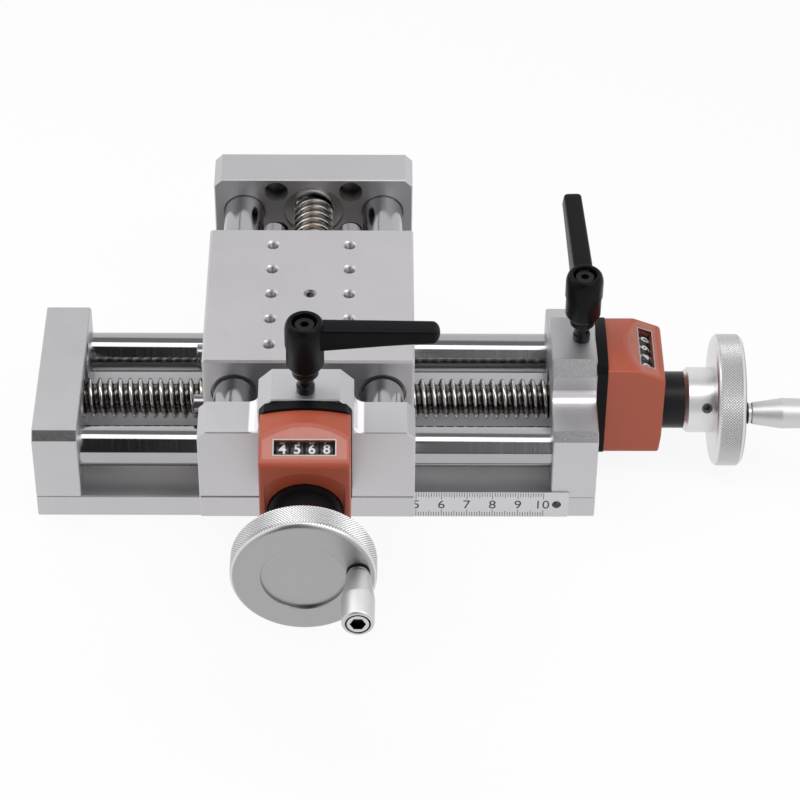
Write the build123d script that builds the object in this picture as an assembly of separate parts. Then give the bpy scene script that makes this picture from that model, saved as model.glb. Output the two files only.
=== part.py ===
from build123d import *
from dataclasses import dataclass
import math
import os

# Manual cross slide table: two screw-driven slides of one design, stacked at right angles.
# All sizes are in millimetres. The origin is the middle of the lower base plate's underside.
# Each slide is built in its own frame: travel along X with the crank at +X, width along Y,
# and Z up from the underside of its base plate.

# Base plates and end blocks
slide_width = 80.0
plate_thickness = 10.5
plate_edge = 0.5
lower_length = 219.0
upper_length = 169.0
block_thickness = 17.5
block_height = 32.0
block_chamfer = 3.0
block_edge = 0.4
raise_height = 16.0
raise_width = 35.0
raise_chamfer = 5.0
raise_fillet = 4.0

# Guide rods and their sockets
rod_diameter = 16.0
rod_inset = 12.0
rod_spacing = slide_width - 2 * rod_inset
socket_depth = 14.0
socket_chamfer = 0.5

# Slider, which is the work table on the upper slide
slider_length = slide_width
slider_gap = 1.0
slider_drop = 0.5
slider_edge = 0.8
bush_wall = 1.0
bush_length = 20.0
bush_recess = 1.5
table_pitch = 15.0
table_rows = 5
table_spacing = 30.0
table_hole_depth = 12.0
table_countersink = 0.6

# Rest positions of the sliders, from the middle of their slides towards the crank
lower_position = -2.1
upper_position = 4.1

# Lead screw, bearings and nut
screw_diameter = 16.0
journal_diameter = 12.0
stub_diameter = 10.0
stub_reach = 54.0
journal_clearance = 0.5
bearing_diameter = 24.0
bearing_width = 6.0
bearing_recess = 1.0
bearing_split = 18.6
ring_gap = 0.3
end_play_hole = 3.0
screw_end = 1.5
hole_run_out = 0.5
nut_diameter = 22.0
nut_length = 45.0
nut_flange_width = 37.0
nut_flange_height = 29.0
nut_flange_thickness = 3.5
nut_flange_radius = 3.0
running_clearance = 0.05
screw_relief = 2.0

# Screws: the threaded part of a screw and its tapped hole are both at core diameter
m5_core = 4.2
m5_clearance = 5.5
m5_head_diameter = 8.5
m5_head_height = 5.0
m5_key = 4.0
m5_socket_depth = 2.5
m5_grub_key = 2.5
counterbore_diameter = 9.5
counterbore_depth = 5.5
nut_screw_spacing_y = 30.0
nut_screw_spacing_z = 20.0
nut_screw_length = 7.0
washer_diameter = 9.0
washer_thickness = 1.0
pocket_depth = 7.0
plate_screw_length = 11.0
m6_core = 5.0
m6_socket = 3.0
set_screw_sunk = 0.6
mount_spacing_x = 160.0
mount_spacing_y = 60.0
mount_hole_depth = 8.0

# Counter on the crank end block; heights are measured from the spindle axis
counter_width = 33.0
counter_depth = 26.8
counter_drop = 14.5
counter_corner = 28.6
counter_crown = 30.8
counter_radius = 3.0
chin_height = 9.0
chin_depth = 0.8
case_rounding = 0.9
brow_rounding = 2.4
counter_wall = 1.8
counter_front_wall = 3.0
dish_radius = 20.6
dish_half_width = 14.6
dish_floor_radius = 14.3
dish_depth = 1.8
flange_thickness = 4.2
flange_margin = 0.3
flange_rise = 0.8
flange_corner = 2.0
facet_start = 10.8
facet_angle = 22.0
lens_thickness = 1.2
lens_margin = 1.3
lens_length = 14.6
window_width = 23.0
window_height = 6.8
window_centre = 9.9
drum_diameter = 13.6
drum_width = 5.0
drum_pitch = 5.3
drum_count = 4
drum_depth = 9.1
drum_axle_diameter = 3.0
axle_seat = 0.9
torque_pin_diameter = 5.0
torque_pin_length = 4.0
torque_pin_drop = 11.8
pin_clearance = 0.1

# Sleeve between the counter and the handwheel
sleeve_diameter = 22.6
sleeve_disc_diameter = 27.4
sleeve_disc_thickness = 1.9
sleeve_tail_diameter = 18.0
sleeve_start = 0.5
sleeve_end = 36.0
turning_gap = 0.3

# Handwheel; its depths are measured from the crank block's outer face
hub_diameter = 26.0
hub_chamfer = 1.5
wheel_diameter = 52.0
wheel_back = 47.5
wheel_front = 59.0
wheel_rounding = 2.2
face_recess_diameter = 30.4
face_recess_depth = 1.2
face_recess_edge = 0.4

# Revolving grip
grip_radius_from_axis = 19.7
grip_start = 61.1
grip_end = 84.5
grip_neck_diameter = 8.6
grip_belly_diameter = 12.0
grip_belly = 73.0
grip_end_diameter = 11.6
grip_rounding = 1.0
grip_edge = 0.5
grip_bore = 6.1
grip_recess_diameter = 8.8
grip_recess_depth = 2.8
axle_diameter = 6.0
axle_collar_diameter = 8.0
axle_head_diameter = 7.8
axle_head_height = 2.4
axle_key = 5.0
axle_key_depth = 2.0
axle_thread_length = 9.0
grub_from_rim = 2.9
grub_sunk = 1.6

# Clamp lever on top of the raised centre; heights are measured from the block's top
lever_inset = 5.75
stud_diameter = 5.9
stud_hole = 6.0
foot_gap = 0.2
foot_diameter = 6.8
foot_height = 3.0
foot_slope = 0.5
neck_diameter = 5.8
neck_height = 5.2
collar_diameter = 9.8
collar_start = 8.2
collar_top = 9.9
spline_diameter = 8.0
spline_top = 19.5
hub_bottom = 10.1
hub_taper_top = 13.2
hub_radius = 6.9
hub_cap_radius = 7.3
hub_cap_start = 21.0
hub_cap_step = 1.0
hub_shoulder = 28.5
hub_top = 32.4
hub_top_radius = 5.0
hub_bore = 8.2
web_bottom = 20.0
web_top = 22.5
web_hole = 5.2
recess_diameter = 9.2
arm_length_lower = 55.0
arm_length_upper = 48.4
arm_knee_share = 0.7
arm_root = 4.0
arm_top_root = 30.8
arm_top_tip = 30.2
arm_under_root = 21.4
arm_under_knee = 24.4
arm_under_tip = 25.0
arm_top_width = 7.4
arm_bottom_width = 9.6
arm_tip_top_width = 6.8
arm_tip_bottom_width = 8.2
tip_rounding = 1.6
lever_screw_diameter = 4.0
lever_screw_head = 7.0
lever_screw_head_bottom = 28.0
lever_screw_head_height = 3.0
lever_screw_end = 13.0
lever_key = 3.0
lever_key_depth = 2.0
spring_radius = 2.9
spring_wire = 0.6
spring_turns = 2.5
lever_lift = 3.0
spring_play = 0.1

# Rest angles: the grip round the spindle from +Y, and the lever round its stud from +X
lower_grip_angle = 154.0
upper_grip_angle = 8.8
lower_lever_angle = 92.5
upper_lever_angle = 90.0

# Ruler on the front of the lower base plate
ruler_length = 120.0
ruler_height = 13.0
ruler_thickness = 0.5
ruler_zero = -10.8
ruler_margin = 10.0
ruler_bottom = 0.5
ruler_corner = 1.0
rivet_margin = 4.8
rivet_diameter = 2.0
rivet_head_diameter = 3.6
rivet_head_height = 0.8
rivet_length = 5.0
rivet_crown_share = 0.7
rivet_side_share = 0.8

# Closeness that counts as the same place when edges are picked
tolerance = 0.01

# Heights that follow from the sizes above
axis_height = plate_thickness + block_height / 2
block_top = plate_thickness + block_height
lever_base = block_top + raise_height
slider_bottom = plate_thickness + slider_gap
slider_top = block_top - slider_drop
bush_diameter = rod_diameter + 2 * bush_wall


@dataclass
class Slide:
    """What differs between the two slides."""

    name: str
    length: float
    position: float
    grip_angle: float
    lever_angle: float
    arm_length: float
    place: Location

    @property
    def end(self):
        """Outer face of the crank end block."""
        return self.length / 2

    @property
    def inner(self):
        """Inner face of the crank end block."""
        return self.length / 2 - block_thickness


on_lower_slider = Location((lower_position, 0, slider_top), (0, 0, -90))
lower = Slide("lower", lower_length, lower_position, lower_grip_angle, lower_lever_angle, arm_length_lower,
              Location())
upper = Slide("upper", upper_length, upper_position, upper_grip_angle, upper_lever_angle, arm_length_upper,
              on_lower_slider)


def bar_x(diameter, start, end, y=0.0, z=axis_height):
    """Cylinder along X from start to end."""
    return Pos((start + end) / 2, y, z) * Rot(0, 90, 0) * Cylinder(diameter / 2, end - start)


def bar_z(diameter, bottom, top, x=0.0, y=0.0):
    """Cylinder along Z from bottom to top."""
    return Pos(x, y, (bottom + top) / 2) * Cylinder(diameter / 2, top - bottom)


def block(x_size, y_size, z_size, x=0.0, y=0.0, bottom=0.0):
    """Box with its underside at the height bottom."""
    return Pos(x, y, bottom + z_size / 2) * Box(x_size, y_size, z_size)


def turned_x(points, start=0.0):
    """Body turned round the spindle axis, from (depth, radius) points that start and end on it."""
    outline = make_face(Polyline(*[(start + depth, radius) for depth, radius in points], close=True))
    return Pos(0, 0, axis_height) * revolve(Plane.XZ * outline, Axis.X)


def turned_z(points):
    """Body turned round Z, from (radius, height) points."""
    return revolve(Plane.XZ * make_face(Polyline(*points, close=True)), Axis.Z)


def same(value, target):
    """Whether a position or radius is the wanted one."""
    return abs(value - target) < tolerance


def pairs(spacing_a, spacing_b):
    """The four corners of a rectangle round zero."""
    return [(a * spacing_a / 2, b * spacing_b / 2) for a in (-1, 1) for b in (-1, 1)]


def cap_screw(core_length):
    """M5 socket cap screw along Z: head above zero, threaded part below."""
    head = bar_z(m5_head_diameter, 0, m5_head_height)
    head = chamfer(head.edges().group_by(Axis.Z)[-1], block_edge)
    key = extrude(RegularPolygon(m5_key / 2, 6, major_radius=False), m5_socket_depth)
    return head - Pos(0, 0, m5_head_height - m5_socket_depth) * key + bar_z(m5_core, -core_length, 0)


def base_plate(slide):
    """Flat bar with counterbores for the block screws and holes for its own fixing."""
    plate = block(slide.length, slide_width, plate_thickness)
    plate = chamfer(plate.edges(), plate_edge)
    for x, y in pairs(slide.length - block_thickness, rod_spacing):
        plate -= bar_z(counterbore_diameter, 0, counterbore_depth, x, y)
        plate -= bar_z(m5_clearance, 0, plate_thickness, x, y)
    if slide is lower:
        for x, y in pairs(mount_spacing_x, mount_spacing_y):
            plate -= bar_z(m6_core, 0, mount_hole_depth, x, y)
        for x, z in rivet_places():
            plate -= rivet_hole(x, z)
    else:
        for x, y in plate_fixings():
            plate -= bar_z(counterbore_diameter, plate_thickness - counterbore_depth, plate_thickness, x, y)
            plate -= bar_z(m5_clearance, 0, plate_thickness, x, y)
    return plate


def plate_fixings():
    """Screws that hold the upper plate, in the upper slide's frame: the corner holes below it."""
    return pairs(table_spacing, (table_rows - 1) * table_pitch)


def block_profile(raised):
    """Outline of an end block seen along X, with its foot on the plate."""
    half = slide_width / 2
    top = block_height
    points = [(-half, 0), (-half, top - block_chamfer), (-half + block_chamfer, top)]
    if raised:
        inner = raise_width / 2
        points += [(-inner, top), (-inner, top + raise_height - raise_chamfer),
                   (-inner + raise_chamfer, top + raise_height)]
    points += [(-y, z) for y, z in reversed(points)]
    face = make_face(Polyline(*points, close=True))
    if raised:
        corners = [v for v in face.vertices() if same(abs(v.X), inner) and same(v.Y, top)]
        face = fillet(corners, raise_fillet)
    return face


def end_block(slide, raised):
    """End block with rod sockets, bearing seat and spindle hole; the crank one also takes the lever."""
    side = 1 if raised else -1
    body = extrude(Plane.YZ * block_profile(raised), block_thickness / 2, both=True)
    body = Pos(side * (slide.end - block_thickness / 2), 0, plate_thickness) * body
    ends = body.faces().filter_by(Axis.X)
    body = chamfer([edge for face in ends for edge in face.outer_wire().edges()], block_edge)
    mouth = side * slide.inner
    for y in (-rod_spacing / 2, rod_spacing / 2):
        body -= bar_x(rod_diameter, *sorted((mouth, mouth + side * socket_depth)), y)
        rim = Cone(rod_diameter / 2 + socket_chamfer, rod_diameter / 2, socket_chamfer)
        body -= Pos(mouth + side * socket_chamfer / 2, y, axis_height) * Rot(0, side * 90, 0) * rim
    seat = bearing_recess + bearing_width
    body -= bar_x(bearing_diameter, *sorted((mouth, mouth + side * seat)))
    hole = journal_diameter + 2 * journal_clearance
    far = mouth + side * (block_thickness if raised else seat + end_play_hole)
    body -= bar_x(hole, *sorted((mouth, far)))
    screw_top = counterbore_depth + plate_screw_length + hole_run_out
    for y in (-rod_spacing / 2, rod_spacing / 2):
        body -= bar_z(m5_core, 0, screw_top, side * (slide.end - block_thickness / 2), y)
    if raised:
        body -= bar_z(stud_hole, axis_height, lever_base, slide.end - lever_inset)
        pin, height = torque_pin_diameter + 2 * pin_clearance, axis_height - torque_pin_drop
        body -= bar_x(pin, slide.end - torque_pin_length - hole_run_out, slide.end, 0, height)
    else:
        for y, z in pairs(nut_screw_spacing_y, nut_screw_spacing_z):
            body -= bar_x(counterbore_diameter, mouth - pocket_depth, mouth, y, axis_height + z)
    return body


def guide_rods(slide):
    """Two rods that end inside their sockets."""
    reach = slide.inner + socket_depth - socket_chamfer
    rods = [bar_x(rod_diameter, -reach, reach, y) for y in (-rod_spacing / 2, rod_spacing / 2)]
    return [chamfer(rod.edges(), socket_chamfer) for rod in rods]


def block_screws(slide):
    """Cap screws that come up through the plate into the end blocks."""
    screws = []
    for x, y in pairs(slide.length - block_thickness, rod_spacing):
        screws.append(Pos(x, y, counterbore_depth) * Rot(180, 0, 0) * cap_screw(plate_screw_length))
    return screws


def bearing_seats(slide):
    """Where each bearing starts and ends along X."""
    near = slide.inner + bearing_recess
    return [(near, near + bearing_width), (-near - bearing_width, -near)]


def bearing_outer_rings(slide):
    """Outer rings, seated in the end blocks."""
    bore = bearing_split + ring_gap
    return [bar_x(bearing_diameter, a, b) - bar_x(bore, a, b) for a, b in bearing_seats(slide)]


def bearing_inner_rings(slide):
    """Inner rings, seated on the spindle journals."""
    ring = bearing_split - ring_gap
    return [bar_x(ring, a, b) - bar_x(journal_diameter, a, b) for a, b in bearing_seats(slide)]


def lead_screw(slide):
    """Spindle: thread between the bearings, two journals, and a stub for sleeve and handwheel."""
    shoulder = slide.inner + bearing_recess
    spindle = bar_x(screw_diameter, -shoulder, shoulder)
    spindle += bar_x(journal_diameter, -shoulder - bearing_width - screw_end, -shoulder)
    spindle += bar_x(journal_diameter, shoulder, slide.end - screw_end)
    spindle += bar_x(stub_diameter, slide.end - screw_end, slide.end + stub_reach)
    return spindle


def slider(slide):
    """Block that runs on the rods; its top takes the work or the next slide."""
    height = slider_top - slider_bottom
    x = slide.position
    body = block(slider_length, slide_width, height, x, 0, slider_bottom)
    body = chamfer(body.edges(), slider_edge)
    left, right = x - slider_length / 2, x + slider_length / 2
    for y in (-rod_spacing / 2, rod_spacing / 2):
        body -= bar_x(bush_diameter, left, right, y)
    body -= bar_x(nut_diameter, left, left + nut_length)
    body -= bar_x(screw_diameter + 2 * screw_relief, left, right)
    body -= nut_flange(slide)
    for y, z in pairs(nut_screw_spacing_y, nut_screw_spacing_z):
        body -= bar_x(m5_core, left, left + nut_screw_length + hole_run_out, y, axis_height + z)
    tip = m5_core / 2
    for x_hole in table_hole_rows(slide):
        for y in (-table_spacing / 2, table_spacing / 2):
            body -= bar_z(m5_core, slider_top - table_hole_depth, slider_top, x_hole, y)
            rim = Cone(tip, tip + table_countersink, table_countersink)
            body -= Pos(x_hole, y, slider_top - table_countersink / 2) * rim
    return body - bar_z(m6_core, axis_height, slider_top, x)


def table_hole_rows(slide):
    """X of each row of threaded holes in the slider's top."""
    middle = (table_rows - 1) / 2
    return [slide.position + (row - middle) * table_pitch for row in range(table_rows)]


def bushes(slide):
    """Four plain bushes, set in a little from the slider's end faces."""
    pieces = []
    reach = slider_length / 2 - bush_recess
    for y in (-rod_spacing / 2, rod_spacing / 2):
        for start in (slide.position - reach, slide.position + reach - bush_length):
            tube = bar_x(bush_diameter, start, start + bush_length, y)
            pieces.append(tube - bar_x(rod_diameter + 2 * running_clearance, start, start + bush_length, y))
    return pieces


def nut_flange(slide):
    """Rectangular flange of the lead nut, flush with the slider's end face."""
    outline = RectangleRounded(nut_flange_width, nut_flange_height, nut_flange_radius)
    plate = extrude(Plane.YZ * outline, nut_flange_thickness)
    return Pos(slide.position - slider_length / 2, 0, axis_height) * plate


def lead_nut(slide):
    """Nut with its flange, bored for the screw with running clearance."""
    left = slide.position - slider_length / 2
    nut = nut_flange(slide) + bar_x(nut_diameter, left, left + nut_length)
    for y, z in pairs(nut_screw_spacing_y, nut_screw_spacing_z):
        nut -= bar_x(m5_core, left, left + nut_flange_thickness, y, axis_height + z)
    return nut - bar_x(screw_diameter + 2 * running_clearance, left, left + nut_length)


def nut_screws(slide):
    """Cap screws on washers; the heads stand out of the slider and enter the end block's pockets."""
    left = slide.position - slider_length / 2
    washer = bar_z(washer_diameter, 0, washer_thickness) - bar_z(m5_core, 0, washer_thickness)
    screw = Pos(0, 0, washer_thickness) * cap_screw(nut_screw_length + washer_thickness)
    pieces = []
    for y, z in pairs(nut_screw_spacing_y, nut_screw_spacing_z):
        seat = Pos(left, y, axis_height + z) * Rot(0, -90, 0)
        pieces += [seat * washer, seat * screw]
    return pieces


def set_screw(slide):
    """Socket set screw that holds the nut from above."""
    top = slider_top - set_screw_sunk
    body = bar_z(m6_core, axis_height + nut_diameter / 2, top, slide.position)
    key = extrude(RegularPolygon(m6_socket / 2, 6, major_radius=False), m5_socket_depth)
    return body - Pos(slide.position, 0, top - m5_socket_depth) * key


def plate_screws():
    """Cap screws that hold the upper base plate on the lower slider."""
    seat = plate_thickness - counterbore_depth
    return [upper.place * Pos(x, y, seat) * cap_screw(plate_screw_length) for x, y in plate_fixings()]


def counter_section(inset, rise=0.0):
    """Outline of the counter seen along the spindle: straight sides and a crowned top."""
    half, bottom = counter_width / 2 - inset, inset - counter_drop
    corner, crown = counter_corner + rise - inset, counter_crown + rise - inset
    sides = Polyline((-half, corner), (-half, bottom), (half, bottom), (half, corner))
    face = make_face(sides + ThreePointArc((half, corner), (0, crown), (-half, corner)))
    low = [v for v in face.vertices() if same(v.Y, bottom)]
    return Plane.YZ * fillet(low, counter_radius - inset / 2)


def counter_prism(slide, inset, start, end):
    """The counter's outline pushed along the spindle between two depths."""
    return Pos(slide.end + start, 0, axis_height) * extrude(counter_section(inset), end - start)


def facet_plane(slide):
    """Plane of the sloping window face: its local X is +Y and its local Y runs up the slope."""
    slope = math.radians(facet_angle)
    return Plane(origin=(slide.end + facet_start, 0, axis_height + counter_crown),
                 x_dir=(0, 1, 0), z_dir=(math.sin(slope), 0, math.cos(slope)))


def above_facet(slide, depth=0.0):
    """Everything above the window face, or above a plane that lies deeper by depth."""
    size = 4 * counter_width
    return facet_plane(slide) * Pos(0, 0, size / 2 - depth) * Box(size, size, size)


def drum_axis(slide):
    """Depth along X and height of the drums' axle."""
    middle = facet_plane(slide) * Pos(0, -window_centre, -drum_depth)
    return middle.position.X, middle.position.Z


def below_chin(slide):
    """Wedge in front of the counter's lower front."""
    front, top = slide.end + counter_depth, axis_height - counter_drop + chin_height
    points = [(front, top), (front - chin_depth, top - chin_height), (front + counter_wall, top - chin_height),
              (front + counter_wall, top)]
    return extrude(Plane.XZ * make_face(Polyline(*points, close=True)), counter_width, both=True)


def dish(slide):
    """Funnel in the case's front round the sleeve's disc, with straight sides that run out below."""
    front = slide.end + counter_depth
    funnel = Cone(dish_floor_radius, dish_radius, dish_depth)
    funnel = Pos(front - dish_depth / 2, 0, axis_height) * Rot(0, 90, 0) * funnel
    return funnel & block(4 * dish_depth, 2 * dish_half_width, 4 * dish_radius, front)


def counter_lens(slide):
    """Lens let into the window face."""
    width = counter_width - 2 * lens_margin
    slab = Box(width, 2 * lens_length, lens_thickness)
    slab = facet_plane(slide) * Pos(0, 0, -lens_thickness / 2) * slab
    return slab & counter_prism(slide, lens_margin / 2, 0, counter_depth)


def brow(case):
    """Edges across the case above the spindle: the one under the window face, or its rounding's seams."""
    return [edge for edge in case.edges().filter_by(Axis.Y) if edge.center().Z > axis_height]


def case_edges(slide, case):
    """The case's sharp edges: all but those at the flange and the seams of the rounded brow and bottom."""
    sharp = [edge for edge in case.edges() if not same(edge.center().X, slide.end + flange_thickness)]
    seams = [edge for edge in case.edges().filter_by(Axis.X) if edge.center().Z < axis_height]
    return [edge for edge in sharp if edge not in seams + brow(case)]


def counter_case(slide):
    """Moulded case: a shell that is open towards the flange, with a window and a spindle hole."""
    case = counter_prism(slide, 0, flange_thickness, counter_depth) - above_facet(slide) - below_chin(slide)
    case = fillet(brow(case), brow_rounding)
    case = fillet(case_edges(slide, case), case_rounding)
    front = counter_depth - counter_front_wall
    cavity = counter_prism(slide, counter_wall, flange_thickness, front)
    case -= cavity - above_facet(slide, lens_thickness + counter_wall)
    case -= counter_lens(slide)
    case -= facet_plane(slide) * Pos(0, -window_centre, 0) * Box(window_width, window_height, 4 * counter_wall)
    case -= dish(slide)
    hole = sleeve_disc_diameter + 2 * turning_gap
    case -= bar_x(hole, slide.end + front - hole_run_out, slide.end + counter_depth)
    return case - drum_axle(slide)


def counter_flange(slide):
    """Black back plate of the counter, with a pin that keeps it from turning."""
    outline = counter_section(-flange_margin, flange_rise)
    tops = outline.vertices().group_by(Axis.Z)[-1]
    plate = Pos(slide.end, 0, axis_height) * extrude(chamfer(tops, flange_corner), flange_thickness)
    plate -= bar_x(sleeve_tail_diameter + 2 * turning_gap, slide.end, slide.end + flange_thickness)
    height = axis_height - torque_pin_drop
    return plate + bar_x(torque_pin_diameter, slide.end - torque_pin_length, slide.end, 0, height)


def drum_axle(slide):
    """Pin that carries the number drums, held in the case's side walls."""
    x, z = drum_axis(slide)
    length = counter_width - 2 * counter_wall + 2 * axle_seat
    return Pos(x, 0, z) * Rot(90, 0, 0) * Cylinder(drum_axle_diameter / 2, length)


def drum(slide, index):
    """One number drum; index 0 is the leading digit."""
    x, z = drum_axis(slide)
    y = (index - (drum_count - 1) / 2) * drum_pitch
    wheel = Cylinder(drum_diameter / 2, drum_width)
    wheel = chamfer(wheel.edges(), block_edge)
    wheel -= Cylinder(drum_axle_diameter / 2 + running_clearance, drum_width)
    return Pos(x, y, z) * Rot(90, 0, 0) * wheel


def counter_sleeve(slide):
    """Hollow shaft of the counter, keyed to the spindle stub."""
    tail, disc, tube = sleeve_tail_diameter / 2, sleeve_disc_diameter / 2, sleeve_diameter / 2
    bore = stub_diameter / 2
    disc_start = counter_depth - sleeve_disc_thickness
    inner = flange_thickness + turning_gap
    points = [(sleeve_start, bore), (sleeve_start, tail), (inner, tail), (inner, tube), (disc_start, tube),
              (disc_start, disc), (counter_depth, disc), (counter_depth, tube), (sleeve_end, tube),
              (sleeve_end, bore)]
    return turned_x(points, slide.end)


def grip_offset(slide):
    """Y and Z of the grip's axis from the spindle axis."""
    angle = math.radians(slide.grip_angle)
    return grip_radius_from_axis * math.cos(angle), grip_radius_from_axis * math.sin(angle)


def handwheel(slide):
    """Hub and rim turned in one piece, with a round recess in its face."""
    hub, rim, recess = hub_diameter / 2, wheel_diameter / 2, face_recess_diameter / 2
    floor = wheel_front - face_recess_depth
    points = [(sleeve_end, stub_diameter / 2), (sleeve_end, hub - hub_chamfer),
              (sleeve_end + hub_chamfer, hub),
              (wheel_back, hub), (wheel_back, rim), (wheel_front, rim), (wheel_front, recess), (floor, recess),
              (floor, 0), (stub_reach, 0), (stub_reach, stub_diameter / 2)]
    wheel = turned_x(points, slide.end)
    circles = wheel.edges().filter_by(GeomType.CIRCLE)
    wheel = fillet([edge for edge in circles if same(edge.radius, rim)], wheel_rounding)
    mouth = [edge for edge in wheel.edges().filter_by(GeomType.CIRCLE)
             if same(edge.radius, recess) and same(edge.center().X, slide.end + wheel_front)]
    wheel = fillet(mouth, face_recess_edge)
    y, z = grip_offset(slide)
    start = wheel_front - axle_thread_length
    wheel -= bar_x(axle_diameter, slide.end + start, slide.end + wheel_front, y, axis_height + z)
    return wheel - grub_place(slide) * bar_z(m5_core, stub_diameter / 2, hub)


def grub_place(slide):
    """Centre of the spindle under the grub screw, with Z pointing out through the hub beside the grip."""
    turn = slide.grip_angle - 90
    return Pos(slide.end + wheel_back - grub_from_rim, 0, axis_height) * Rot(turn, 0, 0)


def grub_screw(slide):
    """Grub screw that holds the hub on the spindle stub."""
    top = hub_diameter / 2 - grub_sunk
    key = extrude(RegularPolygon(m5_grub_key / 2, 6, major_radius=False), m5_socket_depth)
    body = bar_z(m5_core, stub_diameter / 2, top) - Pos(0, 0, top - m5_socket_depth) * key
    return grub_place(slide) * body


def at_grip(slide, body):
    """Moves a body turned round the spindle axis to the grip's axis."""
    y, z = grip_offset(slide)
    return Pos(0, y, z) * body


def grip(slide):
    """Revolving grip with a recess for the screw head."""
    neck, belly, tail = grip_neck_diameter / 2, grip_belly_diameter / 2, grip_end_diameter / 2
    points = [(grip_start, 0), (grip_start, neck - grip_edge), (grip_start + grip_edge, neck),
              (grip_belly, belly),
              (grip_end - grip_rounding, tail), (grip_end, tail - grip_rounding), (grip_end, 0)]
    body = turned_x(points, slide.end)
    body -= bar_x(grip_bore, slide.end + grip_start, slide.end + grip_end)
    recess = slide.end + grip_end - grip_recess_depth
    body -= bar_x(grip_recess_diameter, recess, slide.end + grip_end)
    return at_grip(slide, body)


def grip_axle(slide):
    """Shoulder screw that carries the grip: thread in the wheel, collar, shoulder and head."""
    shaft, collar, head = axle_diameter / 2, axle_collar_diameter / 2, axle_head_diameter / 2
    head_start = grip_end - grip_recess_depth + turning_gap
    head_end = head_start + axle_head_height
    points = [(wheel_front - axle_thread_length, 0), (wheel_front - axle_thread_length, shaft),
              (wheel_front, shaft), (wheel_front, collar), (grip_start - turning_gap, collar),
              (grip_start - turning_gap, shaft),
              (head_start, shaft), (head_start, head), (head_end, head), (head_end, 0)]
    body = turned_x(points, slide.end)
    key = extrude(Plane.YZ * RegularPolygon(axle_key / 2, 6, major_radius=False), axle_key_depth)
    body -= Pos(slide.end + head_end - axle_key_depth, 0, axis_height) * key
    return at_grip(slide, body)


def lever_place(slide):
    """Foot of the lever on the block's top, turned to its rest angle."""
    return Pos(slide.end - lever_inset, 0, lever_base) * Rot(0, 0, slide.lever_angle)


def lock_stud(slide):
    """Threaded stud with foot, neck, collar and the spline that the handle sits on."""
    foot, neck = foot_diameter / 2, neck_diameter / 2
    collar, spline = collar_diameter / 2, spline_diameter / 2
    tip = axis_height + journal_diameter / 2 + turning_gap - lever_base
    points = [(0, tip), (stud_diameter / 2, tip), (stud_diameter / 2, foot_gap), (foot, foot_gap),
              (foot, foot_height - foot_slope), (neck, foot_height + foot_slope), (neck, neck_height),
              (collar, collar_start), (collar, collar_top), (spline, collar_top), (spline, spline_top),
              (0, spline_top)]
    body = turned_z(points) - bar_z(lever_screw_diameter, lever_screw_end, spline_top)
    return lever_place(slide) * body


def lever_screw(slide):
    """Cap screw that holds handle and spring on the stud."""
    top = lever_screw_head_bottom + lever_screw_head_height
    body = bar_z(lever_screw_diameter, lever_screw_end, lever_screw_head_bottom)
    body += bar_z(lever_screw_head, lever_screw_head_bottom, top)
    key = extrude(RegularPolygon(lever_key / 2, 6, major_radius=False), lever_key_depth)
    return lever_place(slide) * (body - Pos(0, 0, top - lever_key_depth) * key)


def lever_spring(slide):
    """Spring on the handle's web, drawn as short as it gets when the handle is lifted."""
    space = lever_screw_head_bottom - web_top - lever_lift - spring_play
    path = Helix((space - spring_wire) / spring_turns, space - spring_wire, spring_radius)
    coil = sweep(Plane(origin=path @ 0, z_dir=path % 0) * Circle(spring_wire / 2), path=path)
    return lever_place(slide) * Pos(0, 0, web_top + spring_wire / 2) * coil


def arm_section(x, bottom, top, bottom_width, top_width):
    """Trapezoid across the arm at a distance from the stud."""
    low, high = bottom_width / 2, top_width / 2
    outline = make_face(Polyline((-low, bottom), (low, bottom), (high, top), (-high, top), close=True))
    return Pos(x, 0, 0) * (Plane.YZ * outline)


def lever_handle(slide):
    """Handle: bored hub and an arm that gets thinner towards its tip."""
    outline = [(0, hub_bottom), (collar_diameter / 2, hub_bottom), (hub_radius, hub_taper_top),
               (hub_radius, hub_cap_start), (hub_cap_radius, hub_cap_start + hub_cap_step),
               (hub_cap_radius, hub_shoulder), (hub_top_radius, hub_top), (0, hub_top)]
    arm_knee = arm_root + arm_knee_share * (slide.arm_length - arm_root)
    knee_top = arm_top_root + arm_knee_share * (arm_top_tip - arm_top_root)
    knee_wide = arm_bottom_width + arm_knee_share * (arm_tip_bottom_width - arm_bottom_width)
    knee_narrow = arm_top_width + arm_knee_share * (arm_tip_top_width - arm_top_width)
    root = arm_section(arm_root, arm_under_root, arm_top_root, arm_bottom_width, arm_top_width)
    knee = arm_section(arm_knee, arm_under_knee, knee_top, knee_wide, knee_narrow)
    end = arm_section(slide.arm_length, arm_under_tip, arm_top_tip, arm_tip_bottom_width, arm_tip_top_width)
    arm = loft([root, knee, end], ruled=True)
    tip = arm.faces().sort_by(Axis.X)[-1]
    arm = fillet(tip.edges(), tip_rounding)
    handle = turned_z(outline) + arm
    handle -= bar_z(hub_bore, hub_bottom, web_bottom)
    handle -= bar_z(web_hole, web_bottom, web_top)
    handle -= bar_z(recess_diameter, web_top, hub_top)
    return lever_place(slide) * handle


def ruler():
    """Thin steel ruler, taller than the plate it is fixed to."""
    outline = RectangleRounded(ruler_length, ruler_height, ruler_corner)
    plate = extrude(Plane.XZ * outline, ruler_thickness)
    plate = Pos(ruler_middle(), -slide_width / 2, ruler_bottom + ruler_height / 2) * plate
    for x, z in rivet_places():
        plate -= rivet_hole(x, z)
    return plate


def ruler_middle():
    """X of the ruler's middle; its zero lies one margin in from the left end."""
    return ruler_zero - ruler_margin + ruler_length / 2


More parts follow.
